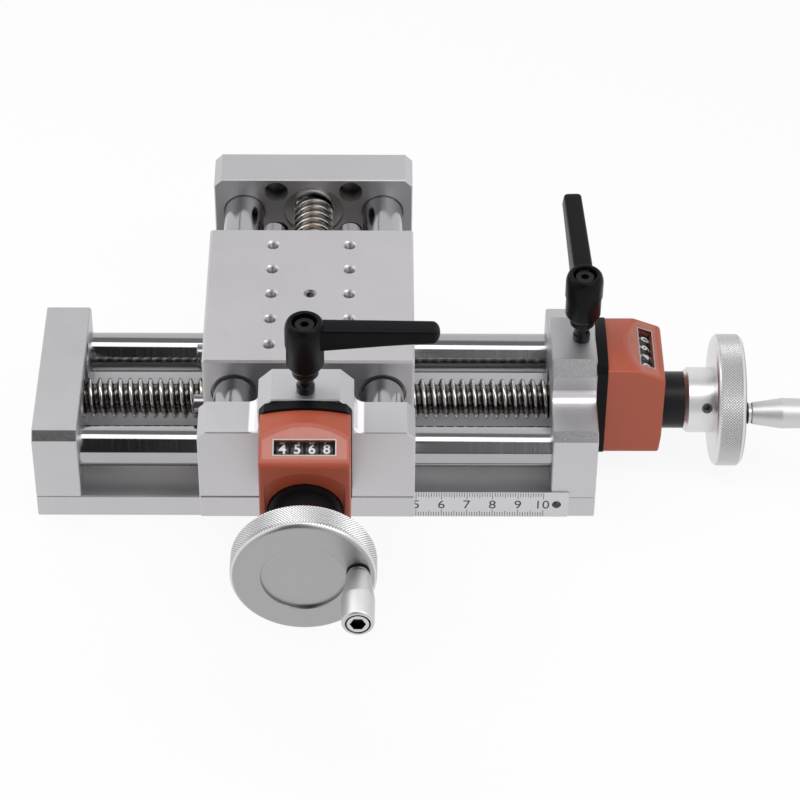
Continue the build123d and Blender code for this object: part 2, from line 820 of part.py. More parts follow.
def rivet_places():
    """X and Z of the two rivets."""
    reach = ruler_length / 2 - rivet_margin
    return [(ruler_middle() + side * reach, ruler_bottom + ruler_height / 2) for side in (-1, 1)]


def rivet_hole(x, z):
    """Cutter for one rivet's hole, centred on the plate's front face."""
    return Pos(x, -slide_width / 2, z) * Rot(90, 0, 0) * Cylinder(rivet_diameter / 2, 2 * rivet_length)


def ruler_rivets():
    """Domed rivets that hold the ruler."""
    head, pin = rivet_head_diameter / 2, rivet_diameter / 2
    under = ruler_thickness
    shoulder = under + rivet_side_share * rivet_head_height
    crown = rivet_crown_share * head
    dome = [(0, -rivet_length), (pin, -rivet_length), (pin, under), (head, under), (crown, shoulder),
            (0, under + rivet_head_height)]
    return [Pos(x, -slide_width / 2, z) * Rot(90, 0, 0) * turned_z(dome) for x, z in rivet_places()]


def write(name, shape):
    """Writes one node; a list of solids becomes one group."""
    solids = shape if isinstance(shape, list) else [shape]
    solids = [solid for item in solids for solid in item.solids()]
    export_step(solids[0] if len(solids) == 1 else Compound(solids), f"parts/{name}.step")


def slide_nodes(slide):
    """Every node of one slide, in the slide's own frame."""
    nodes = {
        "base_plate": base_plate(slide),
        "plain_end_block": end_block(slide, raised=False),
        "crank_end_block": end_block(slide, raised=True),
        "guide_rods": guide_rods(slide),
        "bearing_outer_rings": bearing_outer_rings(slide),
        "bearing_inner_rings": bearing_inner_rings(slide),
        "lead_screw": lead_screw(slide),
        "slider" if slide is lower else "table": slider(slide),
        "slide_bushes": bushes(slide),
        "lead_nut": lead_nut(slide),
        "counter_flange": counter_flange(slide),
        "counter_case": counter_case(slide),
        "counter_lens": counter_lens(slide),
        "drum_axle": drum_axle(slide),
        "counter_sleeve": counter_sleeve(slide),
        "handwheel": handwheel(slide),
        "grip_axle": grip_axle(slide),
        "hub_grub_screw": grub_screw(slide),
        "grip": grip(slide),
        "lock_stud": lock_stud(slide),
        "lock_screw": lever_screw(slide),
        "lock_spring": lever_spring(slide),
        "lock_handle": lever_handle(slide),
    }
    for index in range(drum_count):
        nodes[f"number_drum_{index + 1}"] = drum(slide, index)
    return nodes


def main():
    """Builds both slides and writes one file for each node."""
    os.makedirs("parts", exist_ok=True)
    for slide in (lower, upper):
        for name, shape in slide_nodes(slide).items():
            pieces = shape if isinstance(shape, list) else [shape]
            write(f"{slide.name}_{name}", [slide.place * piece for piece in pieces])
    write("base_block_screws", block_screws(lower))
    placed = [upper.place * screw for screw in block_screws(upper)]
    write("carriage_screws", placed + plate_screws() + nut_screws(lower) + [set_screw(lower)])
    write("table_screws", [upper.place * screw for screw in nut_screws(upper) + [set_screw(upper)]])
    write("ruler", ruler())
    write("ruler_rivets", ruler_rivets())


main()
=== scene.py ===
"""Looks of the manual cross slide table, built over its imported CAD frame.

Lengths in this file are millimetres unless a docstring says otherwise, and they become metres when a
mesh is written. Each slide has its own directions: depth runs along the spindle out of the crank end
block, across is the operator's right, and height is measured from the spindle axis.
"""

import logging
import math
from dataclasses import dataclass, field
from enum import Enum

import bmesh
import bpy
import numpy as np
from mathutils import Matrix, Vector


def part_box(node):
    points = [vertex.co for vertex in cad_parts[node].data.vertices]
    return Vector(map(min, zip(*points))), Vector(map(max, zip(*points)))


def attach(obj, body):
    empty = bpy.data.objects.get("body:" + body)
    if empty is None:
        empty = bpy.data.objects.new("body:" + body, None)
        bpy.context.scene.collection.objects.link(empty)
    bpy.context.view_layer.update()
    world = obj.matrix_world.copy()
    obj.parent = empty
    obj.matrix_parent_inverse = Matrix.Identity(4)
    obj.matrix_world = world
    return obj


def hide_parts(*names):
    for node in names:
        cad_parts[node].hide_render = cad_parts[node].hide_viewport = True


MILLIMETRE = 0.001
TURN = 2 * math.pi
CREST = "crest"
WHITE = (1.0, 1.0, 1.0, 1.0)
ORANGE = (0.395, 0.075, 0.035)
MIX_INPUTS = (6, 7)
MIX_OUTPUT = 2
ATTRIBUTE_OUTPUT = 2
FIGURES = 10
FONT_EXTRUDE = 0.05
FONT_STEPS = 5
WELD_DISTANCE = 1e-5
SPARE_TURNS = 3
BEVEL_SEGMENTS = 3

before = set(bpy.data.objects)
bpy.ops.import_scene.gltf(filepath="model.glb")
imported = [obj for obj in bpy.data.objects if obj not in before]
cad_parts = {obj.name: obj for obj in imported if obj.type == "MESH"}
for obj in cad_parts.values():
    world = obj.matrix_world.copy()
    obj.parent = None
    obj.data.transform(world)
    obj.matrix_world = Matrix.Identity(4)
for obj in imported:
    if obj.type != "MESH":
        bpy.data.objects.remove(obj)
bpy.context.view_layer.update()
log = logging.getLogger("cross_slide")

Colour = tuple[float, float, float]


# Shader graphs


class Value:
    """Output of a node, with its arithmetic written as Python."""

    def __init__(self, graph: "Graph", socket: bpy.types.NodeSocket) -> None:
        """Keeps the graph that the socket belongs to."""
        self.graph = graph
        self.socket = socket

    def _math(self, operation: str, *others: "Value | float") -> "Value":
        """Adds one Math node.

        Args:
            operation: Name of the Math node's operation.
            others: Further operands, in order.

        Returns:
            The node's result.
        """
        operands = dict(enumerate((self, *others)))
        return self.graph.out("ShaderNodeMath", 0, {"operation": operation}, operands)

    def __add__(self, other: "Value | float") -> "Value":
        """Sum."""
        return self._math("ADD", other)

    __radd__ = __add__

    def __sub__(self, other: "Value | float") -> "Value":
        """Difference."""
        return self._math("SUBTRACT", other)

    def __rsub__(self, other: float) -> "Value":
        """Difference with this value second."""
        return self * -1.0 + other

    def __mul__(self, other: "Value | float") -> "Value":
        """Product."""
        return self._math("MULTIPLY", other)

    __rmul__ = __mul__

    def absolute(self) -> "Value":
        """Size without its sign."""
        return self._math("ABSOLUTE")

    def root(self) -> "Value":
        """Square root."""
        return self._math("SQRT")

    def most(self, other: "Value | float") -> "Value":
        """Larger of two values."""
        return self._math("MAXIMUM", other)

    def step(self, low: float, high: float) -> "Value":
        """Smooth rise from 0 at low to 1 at high."""
        names = {"Value": self, "From Min": low, "From Max": high, "To Min": 0.0, "To Max": 1.0}
        return self.graph.out("ShaderNodeMapRange", 0, {"interpolation_type": "SMOOTHSTEP"}, names)

    def rise(self, low: float, high: float) -> "Value":
        """Smooth rise of a length in metres between two limits in millimetres."""
        return self.step(low * MILLIMETRE, high * MILLIMETRE)


class Graph:
    """Node tree of one material or of the world."""

    def __init__(self, tree: bpy.types.NodeTree) -> None:
        """Empties the tree and keeps it."""
        self.tree = tree
        tree.nodes.clear()

    def add(self, kind: str, settings: dict | None = None, sockets: dict | None = None) -> bpy.types.Node:
        """Adds a node, makes its settings and then fills its sockets.

        Args:
            kind: Type name of the node.
            settings: Attributes of the node.
            sockets: Values or links by the input's name or number.

        Returns:
            The node.
        """
        node = self.tree.nodes.new(kind)
        for name, setting in (settings or {}).items():
            setattr(node, name, setting)
        for name, content in (sockets or {}).items():
            if isinstance(content, Value):
                content = content.socket
            if isinstance(content, bpy.types.NodeSocket):
                self.tree.links.new(content, node.inputs[name])
            else:
                node.inputs[name].default_value = content
        return node

    def out(self, kind: str, output: str | int, settings: dict | None = None,
            sockets: dict | None = None) -> Value:
        """Adds a node and gives one of its outputs."""
        return Value(self, self.add(kind, settings, sockets).outputs[output])

    def object_point(self, centre: Vector | None = None, turn: Vector | None = None,
                     stretch: Colour = (1.0, 1.0, 1.0)) -> Value:
        """Object coordinates, moved so that centre is at zero, then turned and stretched.

        Args:
            centre: Point in metres that becomes the pattern's zero.
            turn: Euler angles that turn the slide's directions into X, Y and Z.
            stretch: Factors along the turned directions.

        Returns:
            The vector in metres times stretch.
        """
        point = self.out("ShaderNodeTexCoord", "Object")
        if centre is not None:
            point = self.vector("SUBTRACT", point, tuple(centre))
        angles = tuple(turn) if turn is not None else (0.0, 0.0, 0.0)
        return self.out("ShaderNodeMapping", 0, {"vector_type": "POINT"},
                        {"Vector": point, "Rotation": angles, "Scale": stretch})

    def vector(self, operation: str, first: Value, second: "Value | Colour") -> Value:
        """Adds one Vector Math node."""
        return self.out("ShaderNodeVectorMath", 0, {"operation": operation}, {0: first, 1: second})

    def split(self, vector: Value) -> tuple[Value, Value, Value]:
        """X, Y and Z of a vector."""
        node = self.add("ShaderNodeSeparateXYZ", None, {0: vector})
        return tuple(Value(self, output) for output in node.outputs)

    def join(self, x: "Value | float", y: "Value | float", z: "Value | float") -> Value:
        """Vector from X, Y and Z."""
        return self.out("ShaderNodeCombineXYZ", 0, None, {0: x, 1: y, 2: z})

    def noise(self, vector: Value, scale: float, detail: float, roughness: float = 0.5) -> Value:
        """Noise between 0 and 1."""
        names = {"Vector": vector, "Scale": scale, "Detail": detail, "Roughness": roughness}
        return self.out("ShaderNodeTexNoise", 0, {"noise_dimensions": "3D"}, names)

    def cloud(self, scale: float, detail: float = 3.0, roughness: float = 0.5) -> Value:
        """Even noise on the Object coordinates."""
        return self.noise(self.object_point(), scale, detail, roughness)

    def blend(self, share: "Value | float", first: "Value | Colour", second: "Value | Colour") -> Value:
        """Mixes two colours.

        Args:
            share: How much there is of the second colour.
            first: Colour where the share is 0.
            second: Colour where the share is 1.

        Returns:
            The mixed colour.
        """
        sockets = {0: share}
        for number, colour in zip(MIX_INPUTS, (first, second)):
            sockets[number] = colour if isinstance(colour, Value) else (*colour, 1.0)
        return self.out("ShaderNodeMix", MIX_OUTPUT, {"data_type": "RGBA"}, sockets)

    def bump(self, height: Value, distance: float, strength: float) -> Value:
        """Normal of a surface raised by height times distance, in metres."""
        return self.out("ShaderNodeBump", 0, None,
                        {"Height": height, "Distance": distance, "Strength": strength})

    def glow(self, strength: float) -> bpy.types.NodeSocket:
        """White light of a strength."""
        return self.add("ShaderNodeEmission", None, {"Color": WHITE, "Strength": strength}).outputs[0]


def blank_material(name: str) -> tuple[bpy.types.Material, Graph]:
    """Makes a material whose graph is empty.

    Args:
        name: Name of the material.

    Returns:
        The material and its graph.
    """
    material = bpy.data.materials.new(name)
    material.use_nodes = True
    return material, Graph(material.node_tree)


@dataclass(frozen=True)
class Finish:
    """Surface finish: a colour, the shares of its darkest and lightest tone, and plain sockets."""

    name: str
    colour: Colour
    roughness: float
    metallic: float = 0.0
    specular: float = 0.5
    contrast: tuple[float, float] = (1.0, 1.0)

    def make(self) -> bpy.types.Material:
        """Builds the material.

        Returns:
            The material, where the pattern's sockets take the place of plain values.
        """
        material, graph = blank_material(self.name)
        surface = {"Base Color": (*self.colour, 1.0), "Roughness": self.roughness,
                   "Metallic": self.metallic, "Specular IOR Level": self.specular}
        surface.update(self.pattern(graph))
        shader = graph.add("ShaderNodeBsdfPrincipled", None, surface)
        graph.add("ShaderNodeOutputMaterial", None, {"Surface": shader.outputs[0]})
        return material

    def pattern(self, graph: Graph) -> dict:
        """Sockets that vary over the surface; none on a plain finish."""
        return {}

    def shade(self, factor: float) -> Colour:
        """The finish's colour made darker or lighter."""
        return tuple(min(1.0, part * factor) for part in self.colour)

    def toned(self, graph: Graph, tone: Value) -> Value:
        """The finish's colour, from its darkest share where tone is 0 to its lightest where it is 1."""
        return graph.blend(tone, *(self.shade(share) for share in self.contrast))


class Grain(Enum):
    """Direction that drawn or ground streaks run in, as stretch factors along X, Y and Z."""

    ALONG_X = (0.03, 1.0, 1.0)
    ALONG_Y = (1.0, 0.03, 1.0)
    ALONG_Z = (1.0, 1.0, 0.03)
    NONE = (1.0, 1.0, 1.0)


@dataclass(frozen=True)
class SatinMetal(Finish):
    """Anodised, plated or ground metal: cloudy tone, fine streaks and a sandy micro surface."""

    metallic: float = 1.0
    contrast: tuple[float, float] = (0.88, 1.08)
    grain: Grain = Grain.NONE
    streaks: float = 0.5
    sand: float = 0.5
    depth: float = 6e-6
    streak_scale: float = 1900.0
    sand_scale: float = 4200.0
    cloud_scale: float = 34.0
    smear_scale: float = 150.0

    def satin(self, graph: Graph) -> tuple[Value, Value, Value]:
        """Streaks are stretched noise; clouds, smears and sand are even noise of 30, 7 and 0.2 mm.

        Args:
            graph: Graph that the nodes go into.

        Returns:
            Colour, height as a share of the depth, and roughness.
        """
        drawn = graph.noise(graph.object_point(stretch=self.grain.value), self.streak_scale, 3.0)
        sand = graph.cloud(self.sand_scale, 1.0)
        smear = graph.cloud(self.smear_scale, 4.0, 0.7)
        tone = graph.cloud(self.cloud_scale) * 0.5 + drawn * (0.5 * self.streaks) + smear * 0.25
        return (self.toned(graph, tone), drawn * self.streaks + sand * self.sand,
                smear * 0.10 + drawn * 0.06 + (self.roughness - 0.08))

    def pattern(self, graph: Graph) -> dict:
        """Colour, roughness and bump of the satin surface."""
        colour, height, rough = self.satin(graph)
        return {"Base Color": colour, "Roughness": rough, "Normal": graph.bump(height, self.depth, 0.6)}


@dataclass(frozen=True)
class SawnMetal(SatinMetal):
    """Satin metal of an end block: sawn chamfers whose darker tone is partly painted reflection, a painted
    highlight on the fillet, and painted shade in its holes.
    """

    centre: Vector = Vector((0, 0, 0))
    turn: Vector = Vector((0, 0, 0))
    chamfers: tuple[tuple[float, float, float], ...] = ()
    chamfer_edge: tuple[float, float] = (0.08, 0.14)
    band_edge: float = 0.03
    sparkle_size: float = 0.45
    sparkle_depth: float = 6e-5
    # darker sawn tone of the chamfers: partly a real rough finish, partly painted reflection
    sawn_shades: tuple[float, float] = (0.50, 0.82)
    sawn_gloss: float = 0.10
    fillet: tuple[float, float, float, float] = (17.45, 21.6, 16.05, 20.0)
    fillet_gloss: float = 0.10
    # colour share of the fillet's painted highlight
    fillet_shade: float = 1.75
    mouth: float = 0.0
    pocket_reach: tuple[float, float] = (19.85, 15.4)
    pocket_edge: float = 0.1
    pocket_fade: tuple[float, float] = (1.8, 6.6)
    pocket_floor: tuple[float, float] = (17.0, 17.2)
    # colour share of the painted shade deep in a hole
    pocket_shade: float = 0.22

    def pockets(self, along: Value, side: Value, height: Value) -> Value:
        """Painted shade in a hole of the plain block: none at its mouth, and more with the depth.

        Args:
            along: Depth of the point.
            side: Its distance from the middle.
            height: Its height.

        Returns:
            0 on the block's outside, rising to 1 deep in a pocket.
        """
        inward = along * -1.0 + self.mouth * MILLIMETRE
        painted_hole_shade = inward.rise(*self.pocket_fade) * (1 - inward.rise(*self.pocket_floor))
        for distance, reach in zip((side, height.absolute()), self.pocket_reach):
            painted_hole_shade = painted_hole_shade * (1 - distance.rise(reach, reach + self.pocket_edge))
        return painted_hole_shade

    def inside(self, value: Value, low: float, high: float) -> Value:
        """1 between two limits in millimetres, and 0 outside them."""
        return value.rise(low - self.band_edge, low) * (1 - value.rise(high, high + self.band_edge))

    def pattern(self, graph: Graph) -> dict:
        """A chamfer is where the distance from the middle plus the height is constant.

        Each chamfer is given by that sum and by the least and the most distance from the middle. On it
        the height of the surface is a coarse noise, and elsewhere it is the satin metal's. The chamfer's
        sawn tone sparkles at random and is darker, partly as painted reflection. The fillet is given by
        its limits across and in height, and its colour is lightened there as a painted highlight.

        Args:
            graph: Graph that the nodes go into.

        Returns:
            Values of the sockets that vary.
        """
        along, across, height = graph.split(graph.object_point(self.centre, self.turn))
        side = across.absolute()
        fillet_highlight = self.inside(side, *self.fillet[:2]) * self.inside(height, *self.fillet[2:])
        rough = 0.0
        for total, inner, outer in self.chamfers:
            off = (side + height - total * MILLIMETRE).absolute()
            band = self.inside(side, inner, outer) * (1 - off.rise(*self.chamfer_edge))
            rough = band.most(rough)
        smooth, fine, satin = self.satin(graph)
        sparkle = graph.cloud(1.0 / (self.sparkle_size * MILLIMETRE), 3.0, 0.8)
        raised = fine * self.depth * (1 - rough) + sparkle * rough * self.sparkle_depth
        # sawn chamfers: random sparkle, and a darker tone that is partly painted reflection
        sawn = graph.blend(sparkle.step(0.35, 0.65), *(self.shade(share) for share in self.sawn_shades))
        # painted highlight: the fillet's colour is lightened towards white
        with_highlight = graph.blend(fillet_highlight, graph.blend(rough, smooth, sawn), self.shade(self.fillet_shade))
        # painted shade: holes get darker with depth
        painted_hole_shade = self.pockets(along, side, height)
        return {"Base Color": graph.blend(painted_hole_shade, with_highlight, self.shade(self.pocket_shade)),
                "Roughness": satin - rough * self.sawn_gloss - fillet_highlight * self.fillet_gloss,
                "Normal": graph.bump(raised, 1.0, 0.6)}


@dataclass(frozen=True)
class TurnedMetal(Finish):
    """Metal cut on a lathe: fine grooves round one axis on faces and cylinders alike."""

    metallic: float = 1.0
    contrast: tuple[float, float] = (0.86, 1.1)
    centre: Vector = Vector((0, 0, 0))
    turn: Vector = Vector((0, 0, 0))
    pitch: float = 0.11
    depth: float = 5e-6
    cloud_scale: float = 50.0

    def round_axis(self, graph: Graph) -> tuple[Value, Value, Value]:
        """Depth along the axis, distance from it, and their groove pattern.

        Args:
            graph: Graph that the nodes go into.

        Returns:
            Depth and distance in metres, and noise that changes only with those two.
        """
        along, across, height = graph.split(graph.object_point(self.centre, self.turn))
        radius = (across * across + height * height).root()
        grooves = graph.noise(graph.join(along, radius, 0.0), 1.0 / (self.pitch * MILLIMETRE), 2.0, 0.6)
        return along, radius, grooves

    def lathe_look(self, graph: Graph, grooves: Value) -> tuple[Value, dict]:
        """Grooves give tone, roughness and bump; a cloud of 20 mm keeps them from looking even.

        Args:
            graph: Graph that the nodes go into.
            grooves: The groove pattern.

        Returns:
            The tone, and the sockets of roughness and normal.
        """
        cloud = graph.cloud(self.cloud_scale)
        return grooves * 0.7 + cloud * 0.3, {
            "Roughness": grooves * 0.12 + cloud * 0.06 + (self.roughness - 0.09),
            "Normal": graph.bump(grooves, self.depth, 0.6)}

    def pattern(self, graph: Graph) -> dict:
        """Colour by the tone of the grooves."""
        tone, sockets = self.lathe_look(graph, self.round_axis(graph)[2])
        return {"Base Color": self.toned(graph, tone), **sockets}


@dataclass(frozen=True)
class GroundRod(TurnedMetal):
    """Chromed guide rod: fine rings left by the grinding wheel smear what it mirrors along its length."""

    contrast: tuple[float, float] = (0.9, 1.08)
    axis: Colour = (1.0, 0.0, 0.0)
    lean: float = 0.34

    def pattern(self, graph: Graph) -> dict:
        """The normal leans along the rod by a fine noise of the depth; clouds change the tone.

        Args:
            graph: Graph that the nodes go into.

        Returns:
            Values of the sockets that vary.
        """
        along = graph.split(graph.object_point(self.centre, self.turn))[0]
        rings = graph.noise(graph.join(along, 0.0, 0.0), 1.0 / (self.pitch * MILLIMETRE), 1.0)
        slope = (rings - 0.5) * self.lean
        normal = graph.out("ShaderNodeNewGeometry", "Normal")
        leaning = graph.vector("ADD", normal, graph.join(*(slope * part for part in self.axis)))
        cloud = graph.cloud(self.cloud_scale)
        return {"Base Color": self.toned(graph, cloud * 0.7 + rings * 0.3),
                "Roughness": cloud * 0.06 + (self.roughness - 0.03),
                "Normal": graph.vector("NORMALIZE", leaning, (0.0, 0.0, 0.0))}


@dataclass(frozen=True)
class KnurledMetal(TurnedMetal):
    """Knurled rim: bright crests, with painted shade darkening the grooves between the diamonds."""

    # the groove end of this contrast is painted shade
    contrast: tuple[float, float] = (0.60, 1.1)

    def pattern(self, graph: Graph) -> dict:
        """The piece's own attribute is 1 on the peak of a diamond and 0 in a groove.

        Args:
            graph: Graph that the nodes go into.

        Returns:
            Values of the sockets that vary.
        """
        crest = graph.out("ShaderNodeAttribute", ATTRIBUTE_OUTPUT, {"attribute_name": CREST})
        grooves = self.round_axis(graph)[2]
        # painted shade: grooves take the darker share of the colour
        return {"Base Color": self.toned(graph, crest.step(0.0, 0.7)),
                "Roughness": grooves * 0.12 + (self.roughness - 0.06),
                "Normal": graph.bump(grooves, self.depth, 0.4)}


@dataclass(frozen=True)
class GreasedMetal(TurnedMetal):
    """Turned metal painted black inside a recess, as painted shade."""

    contrast: tuple[float, float] = (0.9, 1.08)
    within: float = 4.45
    within_edge: float = 0.1
    depths: tuple[float, float] = (0.0, 0.0)
    depth_edge: float = 0.05
    grease_shade: float = 0.02

    def pattern(self, graph: Graph) -> dict:
        """The recess is what lies within a radius and between two depths.

        Args:
            graph: Graph that the nodes go into.

        Returns:
            Values of the sockets that vary.
        """
        along, radius, grooves = self.round_axis(graph)
        low, high = self.depths
        black = along.rise(low, low + self.depth_edge) * (1 - along.rise(high - self.depth_edge, high))
        black = black * (1 - radius.rise(self.within, self.within + self.within_edge))
        tone, sockets = self.lathe_look(graph, grooves)
        # painted shade: near black inside the recess
        recess_shade = graph.blend(black, self.toned(graph, tone), self.shade(self.grease_shade))
        return {"Base Color": recess_shade, **sockets}


@dataclass(frozen=True)
class FacedMetal(TurnedMetal):
    """Handwheel: a bright hub and rim, and a front face made darker as painted shade."""

    contrast: tuple[float, float] = (0.88, 1.1)
    face_contrast: tuple[float, float] = (0.95, 1.05)
    front: float = 59.0
    face_depths: tuple[float, float] = (1.45, 1.35)
    face_radii: tuple[float, float] = (25.0, 25.6)
    # colour share of the front face's painted shade
    dull: float = 0.5

    def pattern(self, graph: Graph) -> dict:
        """The face is what lies within its radius, no deeper than its recess.

        Args:
            graph: Graph that the nodes go into.

        Returns:
            Values of the sockets that vary.
        """
        along, radius, grooves = self.round_axis(graph)
        face = along.rise(*(self.front - depth for depth in self.face_depths))
        face = face * (1 - radius.rise(*self.face_radii))
        tone, sockets = self.lathe_look(graph, grooves)
        # painted shade: the front face takes a darker share of the colour
        shaded_face = graph.blend(tone, *(self.shade(share * self.dull) for share in self.face_contrast))
        return {"Base Color": graph.blend(face, self.toned(graph, tone), shaded_face), **sockets}


@dataclass(frozen=True)
class ThreadSteel(TurnedMetal):
    """Rolled screw: bright crests, and painted shade that darkens the roots."""

    contrast: tuple[float, float] = (0.8, 1.1)
    flank: tuple[float, float] = (5.8, 7.9)
    # painted shade in the thread's roots
    root_colour: Colour = (0.10, 0.09, 0.08)
    film_scale: float = 260.0

    def pattern(self, graph: Graph) -> dict:
        """The colour goes from the root's painted shade to the crest's with the distance from the axis.

        Args:
            graph: Graph that the nodes go into.

        Returns:
            Values of the sockets that vary.
        """
        radius, grooves = self.round_axis(graph)[1:]
        film = graph.cloud(self.film_scale)
        worn = self.toned(graph, grooves * 0.6 + film * 0.4)
        share = radius.rise(*self.flank) * 0.8 + film * 0.2
        return {"Base Color": graph.blend(share, self.root_colour, worn),
                "Roughness": film * 0.16 + grooves * 0.08 + (self.roughness - 0.10),
                "Normal": graph.bump(grooves, self.depth, 0.5)}


@dataclass(frozen=True)
class MouldedPlastic(Finish):
    """Moulded or powder-coated surface: soft grain, slight flow marks and a faint sheen change."""

    contrast: tuple[float, float] = (0.94, 1.06)
    grain_size: float = 0.22
    depth: float = 1.2e-5
    flow_scale: float = 40.0
    rub_scale: float = 320.0

    def pattern(self, graph: Graph) -> dict:
        """Grain is even noise; flow marks are noise of 25 mm in the colour.

        Args:
            graph: Graph that the nodes go into.

        Returns:
            Values of the sockets that vary.
        """
        grain = graph.cloud(1.0 / (self.grain_size * MILLIMETRE), 2.0, 0.6)
        rub = graph.cloud(self.rub_scale, 4.0, 0.7)
        return {"Base Color": self.toned(graph, graph.cloud(self.flow_scale) * 0.6 + grain * 0.4),
                "Roughness": rub * 0.12 + grain * 0.06 + (self.roughness - 0.09),
                "Normal": graph.bump(grain, self.depth, 0.5)}


@dataclass(frozen=True)
class WindowPlastic(Finish):
    """Tinted lens that is clear over the number window."""

    centre: Vector = Vector((0, 0, 0))
    turn: Vector = Vector((0, 0, 0))
    half_sizes: tuple[float, float] = (11.3, 3.2)
    edge: tuple[float, float] = (-0.05, 0.10)
    clear: float = 0.04
    clear_colour: Colour = (0.05, 0.05, 0.05)
    haze: Colour = (0.8, 0.75, 0.72)
    smear_scale: float = 180.0

    def pattern(self, graph: Graph) -> dict:
        """Alpha is low inside the window's rectangle, whose sides are sharp to 0.15 mm.

        Args:
            graph: Graph that the nodes go into.

        Returns:
            Values of the sockets that vary.
        """
        flat = graph.split(graph.object_point(self.centre, self.turn))[1:]
        wide, high = (way.absolute().rise(*(half + step for step in self.edge))
                      for way, half in zip(flat, self.half_sizes))
        cover = wide.most(high)
        smear = graph.cloud(self.smear_scale)
        tint = graph.blend(cover, self.clear_colour, self.colour)
        return {"Base Color": graph.blend(cover * smear * 0.1, tint, self.haze),
                "Roughness": smear * 0.08 + (self.roughness - 0.04),
                "Alpha": cover * (1 - self.clear) + self.clear}


# Surfaces


@dataclass
class Shape:
    """Closed surface: points in millimetres, and faces of four or three corners."""

    points: np.ndarray
    quads: np.ndarray = field(default_factory=lambda: np.zeros((0, 4), int))
    triangles: np.ndarray = field(default_factory=lambda: np.zeros((0, 3), int))

    def volume(self) -> float:
        """Adds up a sixth of each triangle's triple product.

        Returns:
            The signed volume.
        """
        corners = np.concatenate([self.triangles, self.quads[:, [0, 1, 2]], self.quads[:, [0, 2, 3]]])
        a, b, c = (self.points[corners[:, side]] for side in range(3))
        return float(np.einsum("ij,ij->", a, np.cross(b, c))) / 6

    def outward(self) -> "Shape":
        """The same surface with its faces turned outwards."""
        way = 1 if self.volume() >= 0 else -1
        return Shape(self.points, self.quads[:, ::way], self.triangles[:, ::way])

    def moved(self, points: np.ndarray) -> "Shape":
        """The same faces on other points."""
        return Shape(points, self.quads, self.triangles)


def joined(shapes: list[Shape]) -> Shape:
    """Several surfaces as one.

    Args:
        shapes: The surfaces.

    Returns:
        One surface with their points and faces in order.
    """
    starts = np.cumsum([0] + [len(shape.points) for shape in shapes[:-1]])
    return Shape(np.concatenate([shape.points for shape in shapes]),
                 *(np.concatenate([getattr(shape, faces) + start for shape, start in zip(shapes, starts)])
                   for faces in ("quads", "triangles")))


def grid_quads(rows: int, columns: int, ring_rows: bool, ring_columns: bool) -> np.ndarray:
    """Quads between neighbours (i, j), (i, j+1), (i+1, j+1), (i+1, j) of a grid of points.

    Args:
        rows: Number of rows.
        columns: Number of columns.
        ring_rows: Whether the last row joins the first.
        ring_columns: Whether the last column joins the first.

    Returns:
        One line of four point numbers for each quad.
    """
    row = np.arange(rows if ring_rows else rows - 1)
    column = np.arange(columns if ring_columns else columns - 1)
    row, column = (part.ravel() for part in np.meshgrid(row, column, indexing="ij"))
    below, right = (row + 1) % rows, (column + 1) % columns
    return np.stack([row * columns + column, row * columns + right,
                     below * columns + right, below * columns + column], axis=1)


def fan(centre: int, rim: np.ndarray) -> np.ndarray:
    """Triangles from one point to each side of a closed rim."""
    return np.stack([np.full(len(rim), centre), rim, np.roll(rim, -1)], axis=1)


def rings(depth: np.ndarray, radius: np.ndarray, columns: int) -> np.ndarray:
    """Points round the depth axis.

    Args:
        depth: Depth of each ring.
        radius: Its radius, as one number or one for each column.
        columns: Points round the axis.

    Returns:
        Depth, radius times cosine and radius times sine, ring by ring.
    """
    angle = np.arange(columns) / columns * TURN
    deep = np.repeat(depth[:, None], columns, axis=1)
    return np.stack([deep, radius * np.cos(angle), radius * np.sin(angle)], axis=-1).reshape(-1, 3)


def turned(profile: np.ndarray, columns: int, ring: bool) -> Shape:
    """Surface turned round the depth axis.

    Point (i, j) is (depth i, radius i times cosine, radius i times sine) of the angle j / columns of a
    turn. A ring profile closes on itself; any other starts and ends on the axis, at single points.

    Args:
        profile: Depths and radii.
        columns: Points round the axis.
        ring: Whether the profile is a closed loop.

    Returns:
        The closed surface.
    """
    rows = profile if ring else profile[1:-1]
    points = rings(rows[:, 0], rows[:, 1:], columns)
    quads = grid_quads(len(rows), columns, ring, True)
    if ring:
        return Shape(points, quads).outward()
    poles = np.array([[profile[0, 0], 0, 0], [profile[-1, 0], 0, 0]])
    first, last = np.arange(columns), np.arange(columns) + (len(rows) - 1) * columns
    caps = np.concatenate([fan(len(points), first[::-1]), fan(len(points) + 1, last)])
    return Shape(np.concatenate([points, poles]), quads, caps).outward()


def washer(depths: tuple[float, float], radii: tuple[float, float], columns: int) -> Shape:
    """Flat ring between two depths and two radii."""
    (near, far), (inner, outer) = depths, radii
    return turned(np.array([[near, inner], [near, outer], [far, outer], [far, inner]]), columns, True)


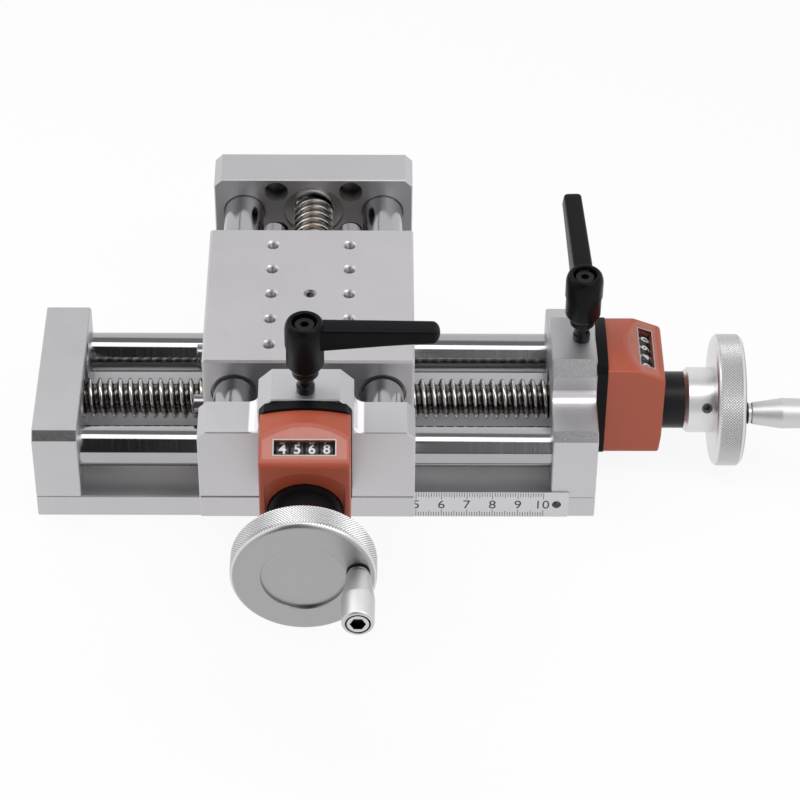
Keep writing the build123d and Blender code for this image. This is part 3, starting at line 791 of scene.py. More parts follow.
def swept_threads(depths: tuple[float, float], lead: float, profile: np.ndarray, columns: int) -> Shape:
    """Right-hand thread on a solid rod, as a grid that is sheared along the helix.

    Point (i, j) lies at depth lead times (phase i + j / columns), kept between the two ends, and at the
    radius of phase i. A full turn joins row i to the row one lead further on, and fans close the ends.

    Args:
        depths: Where the thread starts and ends.
        lead: Advance in one turn.
        profile: Phases of one turn and their radii.
        columns: Points round the axis.

    Returns:
        The closed surface.
    """
    turns = math.ceil((depths[1] - depths[0]) / lead) + SPARE_TURNS
    step = len(profile)
    phase = (np.arange(turns)[:, None] + profile[:, 0]).ravel()
    radius = np.tile(profile[:, 1], turns)[:, None]
    share = np.arange(columns) / columns
    depth = np.clip(depths[0] + lead * (phase[:, None] - SPARE_TURNS / 2 + share), *depths)
    grid = np.stack([depth, radius * np.cos(share * TURN), radius * np.sin(share * TURN)], axis=-1)
    rows = len(phase)
    index = np.arange(rows * columns).reshape(rows, columns)
    body = grid_quads(rows, columns, False, False)
    near, far = index[:-1 - step, -1], index[1:-step, -1]
    seam = np.stack([near, index[step:-1, 0], index[step + 1:, 0], far], axis=1)
    start = np.concatenate([index[0], index[step:0:-1, 0]])
    end = np.concatenate([index[-1], index[-2:-step - 2:-1, -1]])
    poles = np.array([[depths[0], 0, 0], [depths[1], 0, 0]])
    caps = np.concatenate([fan(rows * columns, start[::-1]), fan(rows * columns + 1, end)])
    return Shape(np.concatenate([grid.reshape(-1, 3), poles]), np.concatenate([body, seam]), caps).outward()


def slabs(low: np.ndarray, high: np.ndarray) -> Shape:
    """Boxes between pairs of opposite corners.

    Args:
        low: Lowest corners, one line each.
        high: Highest corners, one line each.

    Returns:
        All the boxes as one surface.
    """
    pick = np.array([[0, 0, 0], [1, 0, 0], [1, 1, 0], [0, 1, 0], [0, 0, 1], [1, 0, 1], [1, 1, 1], [0, 1, 1]])
    sides = np.array([[0, 3, 2, 1], [4, 5, 6, 7], [0, 1, 5, 4], [1, 2, 6, 5], [2, 3, 7, 6], [3, 0, 4, 7]])
    points = low[:, None, :] + (high - low)[:, None, :] * pick
    quads = sides + np.arange(len(low))[:, None, None] * len(pick)
    return Shape(points.reshape(-1, 3), quads.reshape(-1, 4))


def lettering(text: str, height: float, thickness: float, strips: int = 1, weight: float = 0.0) -> Shape:
    """Raised figures laid flat: X along the line, Y up from its middle and Z out of the surface.

    Args:
        text: Figures to write.
        height: Height of a figure.
        thickness: How far they stand out.
        strips: Number of strips that they are cut into along Y, so that they can bend.
        weight: How much bolder than the plain font their strokes are, as a share of the font's size.

    Returns:
        The closed surface of the figures.
    """
    curve = bpy.data.curves.new("figures", "FONT")
    curve.body, curve.extrude, curve.resolution_u, curve.offset = text, FONT_EXTRUDE, FONT_STEPS, weight
    writing = bpy.data.objects.new("figures", curve)
    bpy.context.scene.collection.objects.link(writing)
    view = bpy.context.evaluated_depsgraph_get()
    flat = bpy.data.meshes.new_from_object(writing.evaluated_get(view))
    bpy.data.objects.remove(writing)
    cut = bmesh.new()
    cut.from_mesh(flat)
    bmesh.ops.remove_doubles(cut, verts=cut.verts, dist=WELD_DISTANCE)
    levels = [corner.co.y for corner in cut.verts]
    bottom, top = min(levels), max(levels)
    for level in np.linspace(bottom, top, strips + 1)[1:-1]:
        whole = cut.verts[:] + cut.edges[:] + cut.faces[:]
        bmesh.ops.bisect_plane(cut, geom=whole, plane_co=(0, level, 0), plane_no=(0, 1, 0))
    bmesh.ops.triangulate(cut, faces=cut.faces[:])
    cut.to_mesh(flat)
    cut.free()
    points = np.zeros(len(flat.vertices) * 3)
    flat.vertices.foreach_get("co", points)
    corners = np.zeros(len(flat.loops), int)
    flat.loops.foreach_get("vertex_index", corners)
    bpy.data.meshes.remove(flat)
    points = points.reshape(-1, 3)
    middle = (points.min(0) + points.max(0)) / 2
    scale = height / (top - bottom)
    points = (points - middle) * np.array([scale, scale, thickness / (2 * FONT_EXTRUDE)])
    points[:, 2] += thickness / 2
    return Shape(points, triangles=corners.reshape(-1, 3)).outward()


def add_mesh(name: str, points: list, faces: list, finish: bpy.types.Material) -> bpy.types.Object:
    """Links a mesh as an object with one material.

    Args:
        name: Name of the mesh and the object.
        points: Points in metres.
        faces: Point numbers of each face.
        finish: The material.

    Returns:
        The object.
    """
    mesh = bpy.data.meshes.new(name)
    mesh.from_pydata(points, [], faces)
    mesh.materials.append(finish)
    piece = bpy.data.objects.new(name, mesh)
    bpy.context.scene.collection.objects.link(piece)
    return piece


def put_in_scene(name: str, shape: Shape, finish: bpy.types.Material, body: str,
                 crease: float = 30.0, bevel: float = 0.0) -> bpy.types.Object:
    """Writes a surface as a piece that rides on a body.

    Args:
        name: Name of the piece.
        shape: Surface in millimetres, in the row's frame.
        finish: Material of the whole piece.
        body: Body that carries it.
        crease: Angle in degrees past which an edge is sharp; 0 leaves the faces flat.
        bevel: Width of a rounding on its sharp edges.

    Returns:
        The piece.
    """
    faces = shape.quads.tolist() + shape.triangles.tolist()
    piece = add_mesh(name, (shape.points * MILLIMETRE).tolist(), faces, finish)
    if crease:
        piece.data.shade_smooth()
        piece.data.set_sharp_from_angle(angle=math.radians(crease))
    if bevel:
        rounding = piece.modifiers.new("rounding", "BEVEL")
        rounding.width, rounding.segments = bevel * MILLIMETRE, BEVEL_SEGMENTS
        rounding.limit_method, rounding.angle_limit = "ANGLE", math.radians(crease)
        rounding.harden_normals = True
    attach(piece, body)
    return piece


def dress(nodes: list[str], finish: bpy.types.Material) -> None:
    """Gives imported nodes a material.

    Args:
        nodes: Names of the nodes.
        finish: The material.
    """
    for name in nodes:
        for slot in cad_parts[name].material_slots:
            slot.material = finish


# Slides


@dataclass(frozen=True)
class Datum:
    """Zero and directions of one slide: the spindle axis where it leaves the crank end block."""

    name: str
    zero: np.ndarray
    out: np.ndarray
    across: np.ndarray

    @classmethod
    def read(cls, name: str, out: tuple[int, int, int]) -> "Datum":
        """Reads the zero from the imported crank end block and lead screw.

        Args:
            name: The slide's name.
            out: Direction of the spindle out of the block.

        Returns:
            The slide's datum.
        """
        out = np.array(out, float)
        across = np.cross((0, 0, 1), out)
        block = np.array(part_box(f"{name}_crank_end_block")) / MILLIMETRE
        screw = np.array(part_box(f"{name}_lead_screw")) / MILLIMETRE
        face = max(block @ out)
        middle = screw.mean(axis=0)
        return cls(name, middle + (face - middle @ out) * out, out, across)

    def place(self, points: np.ndarray) -> np.ndarray:
        """Takes points of depth, across and height into the row's frame."""
        return self.zero + points @ np.stack([self.out, self.across, np.array([0, 0, 1.0])])

    def placed(self, shape: Shape, offset: np.ndarray | float = 0.0) -> Shape:
        """A surface taken into the row's frame, after an offset in depth, across and height."""
        return shape.moved(self.place(shape.points + offset))

    def centre(self, depth: float = 0.0, across: float = 0.0, height: float = 0.0) -> Vector:
        """One point of the slide in metres, for a material's pattern."""
        return Vector(self.place(np.array([depth, across, height])) * MILLIMETRE)

    @property
    def turn(self) -> Vector:
        """Euler angles that turn the row's frame into depth, across and height."""
        return Vector((0, 0, -math.atan2(self.out[1], self.out[0])))

    def depths(self, node: str) -> tuple[float, float]:
        """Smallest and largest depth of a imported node."""
        corners = (np.array(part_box(f"{self.name}_{node}")) / MILLIMETRE - self.zero) @ self.out
        return float(min(corners)), float(max(corners))

    def middle(self, node: str) -> np.ndarray:
        """Depth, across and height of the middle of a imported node's box."""
        point = np.array(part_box(f"{self.name}_{node}")).mean(axis=0) / MILLIMETRE - self.zero
        return np.array([point @ self.out, point @ self.across, point[2]])


@dataclass
class Spindle:
    """Lead screw with its real thread, journals and handwheel stub, and the bearings' dust shields."""

    slide: Datum
    crest_radius: float = 8.0
    root_radius: float = 5.75
    lead: float = 4.0
    crest_share: float = 0.10
    root_share: float = 0.40
    crown: float = 0.12
    phases: int = 16
    journal_radius: float = 6.0
    core_radius: float = 5.5
    stub_radius: float = 5.0
    shoulder: float = 16.5
    stub_start: float = -1.5
    bearing_width: float = 6.0
    shield_inner: float = 8.1
    shield_outer: float = 10.7
    shield_depths: tuple[float, float] = (-0.3, 0.08)
    edge: float = 0.4
    columns: int = 72

    def thread_shape(self) -> Shape:
        """Rolled trapezoidal thread between the two bearings.

        With p the distance from the crest as a share of the lead, and u going from 1 at the crest's edge
        to 0 at the root's, the radius is the root's plus the depth times (3 u squared less 2 u cubed),
        less the crown times (p over the crest's share) squared on the crest.

        Returns:
            The closed thread.
        """
        phase = np.arange(self.phases) / self.phases - 0.5
        off = np.abs(phase)
        rise = np.clip((self.root_share - off) / (self.root_share - self.crest_share), 0, 1)
        depth = self.crest_radius - self.root_radius
        radius = self.root_radius + depth * (3 * rise ** 2 - 2 * rise ** 3)
        radius -= self.crown * np.minimum(1, off / self.crest_share) ** 2 * rise
        return swept_threads(self.thread_ends(), self.lead, np.stack([phase, radius], 1), self.columns)

    def thread_ends(self) -> tuple[float, float]:
        """Depths of the two shoulders that the bearings stand against."""
        low = self.slide.depths("bearing_inner_rings")[0] + self.bearing_width
        return low, -self.shoulder

    def rod_shape(self) -> Shape:
        """Journals, the core inside the thread, and the stub, as one turned profile.

        Returns:
            The closed rod.
        """
        start, end = self.slide.depths("lead_screw")
        low, high = self.thread_ends()
        journal, core, stub = self.journal_radius, self.core_radius, self.stub_radius
        profile = np.array([[start, 0], [start, journal - self.edge], [start + self.edge, journal],
                            [low, journal], [low, core], [high, core], [high, journal],
                            [self.stub_start, journal], [self.stub_start, stub], [end, stub], [end, 0]])
        return turned(profile, self.columns, False)

    def shield_shape(self) -> Shape:
        """Thin discs over the gap between the bearing rings, on the side that faces the slider.

        Returns:
            Both discs as one surface.
        """
        discs = []
        for face, side in zip(self.thread_ends(), (1, -1)):
            near, far = (face + side * depth for depth in self.shield_depths)
            discs.append(washer((near, far), (self.shield_inner, self.shield_outer), self.columns))
        return joined(discs)

    def build(self, finishes: "Finishes") -> None:
        """Adds the screw in place of the plain packed one, and the shields.

        Args:
            finishes: The object\'s materials.
        """
        body, name = f"{self.slide.name}_crank", self.slide.name
        for part, shape in (("thread", self.thread_shape()), ("journals", self.rod_shape())):
            piece = put_in_scene(f"{name}_screw_{part}", self.slide.placed(shape), finishes.thread[name],
                                 body, crease=25)
            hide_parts(f"{name}_lead_screw")
        put_in_scene(f"{name}_bearing_shields", self.slide.placed(self.shield_shape()),
                     finishes.bearing[name], carrier(name), bevel=0.04)


def carrier(slide: str) -> str:
    """Body that a slide's blocks belong to."""
    return "base" if slide == "lower" else "carriage"


@dataclass
class Handwheel:
    """Diamond-knurled band round the handwheel's rim."""

    slide: Datum
    radius: float = 26.0
    width: float = 11.5
    rounding: float = 2.2
    inset: float = 1.1
    diamonds: int = 150
    rows: int = 16
    valley: float = 0.02
    peak: float = 0.30
    wall: float = 0.7

    def shape(self) -> Shape:
        """Pyramids between two sets of crossing grooves.

        Point (i, j) of the band stands at the peak's height where i + j is even and in the valley where
        it is odd, on a radius that follows the rim's rounding: radius less (r less the root of r squared
        less x squared), where x is how far the point is into the rounding. Each quad is split between
        its two valleys. An inner wall closes the band.

        Returns:
            The closed band.
        """
        high = self.slide.depths("handwheel")[1]
        back = high - self.width
        depth = np.linspace(back + self.inset, high - self.inset, self.rows + 1)
        into = np.maximum(0, np.maximum(back + self.rounding - depth, depth - high + self.rounding))
        base = self.radius - (self.rounding - np.sqrt(self.rounding ** 2 - into ** 2))
        columns = 2 * self.diamonds
        row, column = np.meshgrid(np.arange(self.rows + 1), np.arange(columns), indexing="ij")
        even = (row + column) % 2 == 0
        inside = (row > 0) & (row < self.rows)
        radius = base[:, None] + np.where(even & inside, self.peak, self.valley)
        grid = rings(depth, radius, columns)
        quads = grid_quads(self.rows + 1, columns, False, True)
        split = even[:-1].ravel()
        first = np.where(split[:, None], quads[:, [0, 1, 3]], quads[:, [0, 1, 2]])
        second = np.where(split[:, None], quads[:, [1, 2, 3]], quads[:, [0, 2, 3]])
        inner = rings(depth[[0, -1]], base[[0, -1], None] - self.wall, columns)
        count = len(grid)
        rim = np.arange(columns)
        nxt = np.roll(rim, -1)
        top = count - columns
        walls = np.concatenate([
            np.stack([rim, nxt, count + nxt, count + rim], 1)[:, ::-1],
            np.stack([count + rim, count + nxt, count + columns + nxt, count + columns + rim], 1)[:, ::-1],
            np.stack([top + rim, top + nxt, count + columns + nxt, count + columns + rim], 1)])
        return Shape(np.concatenate([grid, inner]), walls, np.concatenate([first, second])).outward()

    def crests(self) -> np.ndarray:
        """1 for each peak and edge point of the band and 0 for the others, in the order of the points.

        Returns:
            1 for each peak and edge point, 0 for the others.
        """
        row, column = np.meshgrid(np.arange(self.rows + 1), np.arange(2 * self.diamonds), indexing="ij")
        peak = ((row + column) % 2 == 0) | (row == 0) | (row == self.rows)
        return np.concatenate([peak.ravel(), np.zeros(4 * self.diamonds, bool)]).astype(np.float32)

    def build(self, finishes: "Finishes") -> None:
        """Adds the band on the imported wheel, with its crests as an attribute.

        Args:
            finishes: The object\'s materials.
        """
        name = self.slide.name
        piece = put_in_scene(f"{name}_wheel_knurling", self.slide.placed(self.shape()),
                             finishes.knurl[name], f"{name}_crank", crease=0)
        piece.data.attributes.new(CREST, "FLOAT", "POINT").data.foreach_set("value", self.crests())


@dataclass
class Grip:
    """Revolving grip: a cone up to its thickest place and a slight taper to the end, with its washer."""

    slide: Datum
    neck_radius: float = 4.3
    belly_radius: float = 6.0
    tail_radius: float = 5.8
    belly: float = 73.0
    neck_edge: float = 0.5
    rounding: float = 1.0
    bore: float = 3.05
    recess_radius: float = 4.4
    recess_depth: float = 2.8
    washer_radii: tuple[float, float] = (4.01, 4.2)
    washer_reach: tuple[float, float] = (2.05, 1.3)
    break_reach: float = 0.5
    break_drops: tuple[float, float] = (0.07, 0.02)
    recess_edge: float = 0.2
    neck_angles: tuple[float, float] = (-90, -8)
    tail_angles: tuple[float, float] = (0, 90)
    arc_points: int = 8
    columns: int = 96

    def corner(self, depth: float, radius: float, size: float, angles: tuple[float, float]) -> np.ndarray:
        """Arc of an outline: its centre plus size times the sine and cosine of the angle."""
        angle = np.radians(np.linspace(*angles, self.arc_points))
        return np.stack([depth + size * np.sin(angle), radius + size * np.cos(angle)], 1)

    def outline(self) -> np.ndarray:
        """Neck edge, cone, soft break, taper and rounded end, then recess and bore back to the neck.

        Returns:
            Depths and radii of the closed profile.
        """
        start, end = self.slide.depths("grip")
        edge, rounding = self.neck_edge, self.rounding
        neck = self.corner(start + edge, self.neck_radius - edge, edge, self.neck_angles)
        before, after = self.break_drops
        ridge = [[self.belly - self.break_reach, self.belly_radius - before],
                 [self.belly, self.belly_radius],
                 [self.belly + self.break_reach, self.belly_radius - after]]
        tail = self.corner(end - rounding, self.tail_radius - rounding, rounding, self.tail_angles)
        floor, recess = end - self.recess_depth, self.recess_radius
        inside = [[end, recess + self.recess_edge], [end - self.recess_edge, recess],
                  [floor, recess], [floor, self.bore], [start, self.bore]]
        return np.concatenate([neck, ridge, tail, inside])

    def build(self, finishes: "Finishes") -> None:
        """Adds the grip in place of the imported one, and the washer at its neck.

        Args:
            finishes: The object\'s materials.
        """
        name = self.slide.name
        offset = self.slide.middle("grip") * np.array([0, 1, 1])
        shape = turned(self.outline(), self.columns, True)
        piece = put_in_scene(f"{name}_smooth_grip", self.slide.placed(shape, offset),
                             finishes.grip[name], f"{name}_grip", crease=40)
        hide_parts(f"{name}_grip")
        # the black washer is partly a real part and partly painted shade for the gap at the grip's neck
        start = self.slide.depths("grip")[0]
        depths = tuple(start - reach for reach in self.washer_reach)
        shape = washer(depths, self.washer_radii, self.columns)
        put_in_scene(f"{name}_grip_washer", self.slide.placed(shape, offset),
                     finishes.black_plastic, f"{name}_crank", bevel=0.03)


@dataclass
class ClampLever:
    """Handle of the clamp lever: a cast arm that tapers to a rounded tip, and a hub with a recess."""

    slide: Datum
    angle: float
    arm_start: float = 4.0
    knee_share: float = 0.7
    top_root: float = 30.8
    top_tip: float = 30.2
    under_root: float = 21.4
    under_knee: float = 24.4
    under_tip: float = 25.0
    bottom_width: tuple[float, float] = (9.6, 8.2)
    top_width: tuple[float, float] = (7.4, 6.8)
    tip_rounding: float = 2.8
    squareness: float = 7.0
    knee_length: float = 12.0
    knee_fill: float = 0.35
    tip_rows: int = 12
    rows: int = 60
    columns: int = 48
    hub_outside: tuple = ((10.1, 4.1), (10.1, 4.9), (13.2, 6.9), (21.0, 6.9), (22.0, 7.3))
    hub_inside: tuple = ((32.2, 4.6), (22.5, 4.6), (22.5, 2.6), (20.0, 2.6), (20.0, 4.1))
    dome_centre: tuple[float, float] = (28.3, 5.5)
    dome_size: tuple[float, float] = (4.1, 1.8)
    dome_points: int = 9
    hub_columns: int = 80

    @property
    def foot(self) -> np.ndarray:
        """Point on the block's top where the stud stands.

        Returns:
            Millimetres in the row's frame.
        """
        stud = np.array(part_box(f"{self.slide.name}_lock_screw")) / MILLIMETRE
        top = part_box(f"{self.slide.name}_crank_end_block")[1].z / MILLIMETRE
        return np.array([*stud.mean(axis=0)[:2], top])

    @property
    def arm_length(self) -> float:
        """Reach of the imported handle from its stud."""
        handle = np.array(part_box(f"{self.slide.name}_lock_handle"))[1] / MILLIMETRE
        return float(max((handle - self.foot)[:2]))

    def arm_shape(self) -> Shape:
        """Loft of rounded trapezoids.

        A section is the curve where |p| to the power n plus |q| to the power n is 1; q gives the height
        between the arm's underside and top, and p times half the width at that height gives the side.
        Towards the tip the section shrinks by the root of (1 less t squared), where t goes from 0 to 1
        over the rounding, and a fan closes it.

        Returns:
            The closed arm, lying along X from the stud.
        """
        reach = self.arm_length
        knee = self.arm_start + self.knee_share * (reach - self.arm_start)
        along = np.linspace(self.arm_start, reach - self.tip_rounding, self.rows)
        arc = np.sin(np.linspace(0, math.pi / 2, self.tip_rows)[1:-1])
        along = np.concatenate([along, reach - self.tip_rounding * (1 - arc)])
        share = (along - self.arm_start) / (reach - self.arm_start)
        top = self.top_root + share * (self.top_tip - self.top_root)
        under = np.interp(along, [self.arm_start, knee, reach],
                          [self.under_root, self.under_knee, self.under_tip])
        soft = np.clip((along - knee) / self.knee_length + 0.5, 0, 1)
        under -= self.knee_fill * soft * (1 - soft)
        shrink = np.ones(len(along))
        shrink[self.rows:] = np.sqrt(1 - arc ** 2)
        angle = np.arange(self.columns) / self.columns * TURN
        side, rise = (np.sign(way) * np.abs(way) ** (2 / self.squareness)
                      for way in (np.cos(angle), np.sin(angle)))
        wide, narrow = (ends[0] + share * (ends[1] - ends[0])
                        for ends in (self.bottom_width, self.top_width))
        middle, half = (top + under) / 2, (top - under) / 2
        width = (wide[:, None] + narrow[:, None]) / 4 - (wide - narrow)[:, None] / 4 * rise
        y = side * width * shrink[:, None]
        z = middle[:, None] + rise * (half * shrink)[:, None]
        x = np.repeat(along[:, None], self.columns, 1)
        grid = np.stack([x, y, z], axis=-1).reshape(-1, 3)
        poles = np.array([[along[0], 0, middle[0]], [reach, 0, middle[-1]]])
        first = np.arange(self.columns)
        last = first + len(grid) - self.columns
        caps = np.concatenate([fan(len(grid), first[::-1]), fan(len(grid) + 1, last)])
        quads = grid_quads(len(along), self.columns, False, True)
        return Shape(np.concatenate([grid, poles]), quads, caps).outward()

    def hub_shape(self) -> Shape:
        """Turned hub: flared foot, body, wider cap with a domed edge, screw recess, web and bore.

        The dome is its centre plus its size times the sine and cosine of the angle.

        Returns:
            The closed hub, standing along Z.
        """
        angle = np.linspace(0, math.pi / 2, self.dome_points)
        dome = self.dome_centre + np.stack([np.sin(angle), np.cos(angle)], 1) * self.dome_size
        loop = np.concatenate([self.hub_outside, dome, self.hub_inside])
        shape = turned(loop, self.hub_columns, True)
        return shape.moved(shape.points[:, [1, 2, 0]])

    def build(self, finishes: "Finishes") -> None:
        """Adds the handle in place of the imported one.

        Args:
            finishes: The object\'s materials.
        """
        name = self.slide.name
        turn = math.radians(self.angle)
        cosine, sine = math.cos(turn), math.sin(turn)
        spin = np.array([[cosine, sine, 0], [-sine, cosine, 0], [0, 0, 1]])
        whole = joined([self.arm_shape(), self.hub_shape().outward()])
        piece = put_in_scene(f"{name}_lever_handle", whole.moved(whole.points @ spin + self.foot),
                             finishes.powder_coat, f"{name}_clamp_handle", crease=40,
                             bevel=0.35)
        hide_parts(f"{name}_lock_handle")


@dataclass
class Counter:
    """Position counter: raised figures on its number drums, and the bright frame of its window."""

    slide: Datum
    reading: str
    roll: float = 0.0
    facet_start: float = 10.8
    crown: float = 30.8
    facet_angle: float = 22.0
    window_centre: float = 9.9
    window_width: float = 23.0
    window_height: float = 6.8
    frame_width: float = 0.5
    frame_depths: tuple[float, float] = (-0.05, 0.45)
    frame_gap: float = 0.02
    figure_share: float = 0.92
    figure_thickness: float = 0.06
    figure_weight: float = 0.022
    figure_lift: float = 0.01
    figure_strips: int = 14

    @property
    def slope(self) -> tuple[float, float]:
        """Cosine and sine of the window face's slope."""
        angle = math.radians(self.facet_angle)
        return math.cos(angle), math.sin(angle)

    def on_facet(self, points: np.ndarray) -> np.ndarray:
        """Takes points of the window's face into the slide's directions.

        Args:
            points: Across, up the slope, and out of the face.

        Returns:
            Depth, across and height.
        """
        cosine, sine = self.slope
        across, up, out = points[..., 0], points[..., 1] - self.window_centre, points[..., 2]
        return np.stack([self.facet_start - up * cosine + out * sine, across,
                         self.crown + up * sine + out * cosine], axis=-1)

    def frame_shape(self) -> Shape:
        """Rectangular frame: four corner sections of four points each, joined round.

        Returns:
            The closed frame.
        """
        half = np.array([self.window_width, self.window_height]) / 2 - self.frame_gap
        corners = np.array([[-1, -1], [1, -1], [1, 1], [-1, 1]], float)
        out, sunk = (-depth for depth in self.frame_depths)
        section = [(0.0, out), (0.0, sunk), (self.frame_width, sunk), (self.frame_width, out)]
        grid = np.array([[[*(corner * (half - inset)), level] for inset, level in section]
                         for corner in corners])
        return Shape(self.on_facet(grid.reshape(-1, 3)), grid_quads(4, 4, True, True)).outward()

    def figures_shape(self, number: int, shown: int) -> Shape:
        """Ten figures wrapped round one drum.

        A point at height y above a figure's middle and t out of it goes to the angle y / radius from the
        window's direction, at the radius plus t. Figure k stands k less the shown figure tenths of a
        turn below the window, so that rising readings move up through it. The drums stand a little
        further round by the roll, in degrees.

        Args:
            number: Which drum, from 1 at the left.
            shown: Figure that faces the window.

        Returns:
            The surface of the ten figures.
        """
        axis = self.slide.middle(f"number_drum_{number}")
        low, high = self.slide.depths(f"number_drum_{number}")
        radius = (high - low) / 2 + self.figure_lift
        cosine, sine = self.slope
        pitch = TURN * radius / FIGURES
        shapes = []
        for figure in range(FIGURES):
            flat = lettering(str(figure), pitch * self.figure_share, self.figure_thickness,
                             self.figure_strips, self.figure_weight)
            round_by = math.radians(self.roll) - (figure - shown) * TURN / FIGURES
            angle = flat.points[:, 1] / radius + round_by
            reach = radius + flat.points[:, 2]
            normal, up = reach * np.cos(angle), reach * np.sin(angle)
            shapes.append(flat.moved(axis + np.stack([normal * sine - up * cosine, flat.points[:, 0],
                                                      normal * cosine + up * sine], axis=1)))
        return joined([shape.outward() for shape in shapes])

    def build(self, finishes: "Finishes") -> None:
        """Adds the figures and the frame.

        Args:
            finishes: The object\'s materials.
        """
        name = self.slide.name
        for number, shown in enumerate(self.reading, 1):
            shape = self.slide.placed(self.figures_shape(number, int(shown)))
            put_in_scene(f"{name}_drum_{number}_figures", shape, finishes.white_ink,
                         f"{name}_drum_{number}", crease=25)
        put_in_scene(f"{name}_window_frame", self.slide.placed(self.frame_shape()),
                     finishes.silver, carrier(name), bevel=0.06)


@dataclass
class RulerMarks:
    """Scale on the ruler: a tick for each millimetre at both edges, and a number for each centimetre."""

    zero: float = -10.8
    centimetres: int = 10
    tick_width: float = 0.24
    lengths: tuple[float, float, float] = (2.1, 2.7, 3.3)
    edge_gap: float = 0.35
    figure_height: float = 4.3
    thickness: float = 0.03
    sink: float = 0.01

    def build(self, finishes: "Finishes") -> None:
        """Adds the marks on the ruler's front face.

        Args:
            finishes: The object\'s materials.
        """
        low, high = (np.array(corner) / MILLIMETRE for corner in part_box("ruler"))
        face = low[1]
        count = np.arange(self.centimetres * 10 + 1)
        length = np.select([count % 10 == 0, count % 5 == 0], [self.lengths[2], self.lengths[1]],
                           self.lengths[0])
        x, half = self.zero + count, self.tick_width / 2
        near, far = face - self.thickness, face + self.sink
        top, bottom = high[2] - self.edge_gap, low[2] + self.edge_gap
        rows = [slabs(np.stack(np.broadcast_arrays(x - half, near, foot), 1),
                      np.stack(np.broadcast_arrays(x + half, far, head), 1))
                for foot, head in ((top - length, top), (bottom, bottom + length))]
        put_in_scene("ruler_ticks", joined(rows), finishes.ink, "base", crease=0)
        figures = []
        middle = (low[2] + high[2]) / 2
        for number in range(self.centimetres + 1):
            flat = lettering(str(number), self.figure_height, self.thickness)
            place = [self.zero + 10 * number, face, middle]
            figures.append(flat.moved(flat.points[:, [0, 2, 1]] * np.array([1, -1, 1]) + place).outward())
        put_in_scene("ruler_figures", joined(figures), finishes.ink, "base", crease=25)


@dataclass
class HoleThreads:
    """Thread crests in the table's tapped holes."""

    pitch: float = 0.8
    wall: float = 2.09
    root: float = 2.04
    crest: float = 1.8
    start: float = 0.75
    depth: float = 11.8
    row_pitch: float = 15.0
    spacing: float = 30.0
    rows: int = 5
    columns: int = 32

    def build(self, finishes: "Finishes") -> None:
        """Adds a grooved lining in each hole: radii that alternate every half pitch.

        Args:
            finishes: The object\'s materials.
        """
        low, high = (np.array(corner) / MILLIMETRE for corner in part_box("upper_table"))
        depth = np.arange(self.start, self.depth, self.pitch / 2)
        radius = np.where(np.arange(len(depth)) % 2, self.crest, self.root)
        back = [[-depth[-1], self.wall], [-depth[0], self.wall]]
        loop = np.concatenate([np.stack([-depth, radius], 1), back])
        lining = turned(loop, self.columns, True)
        lining = lining.moved(lining.points[:, [1, 2, 0]]).outward()
        middle = (low + high) / 2
        x = middle[0] + np.array([-0.5, 0.5]) * self.spacing
        y = middle[1] + (np.arange(self.rows) - (self.rows - 1) / 2) * self.row_pitch
        holes = [lining.moved(lining.points + [a, b, high[2]]) for a in x for b in y]
        put_in_scene("table_hole_threads", joined(holes), finishes.hole_thread, "table",
                     crease=20)


# Finishes


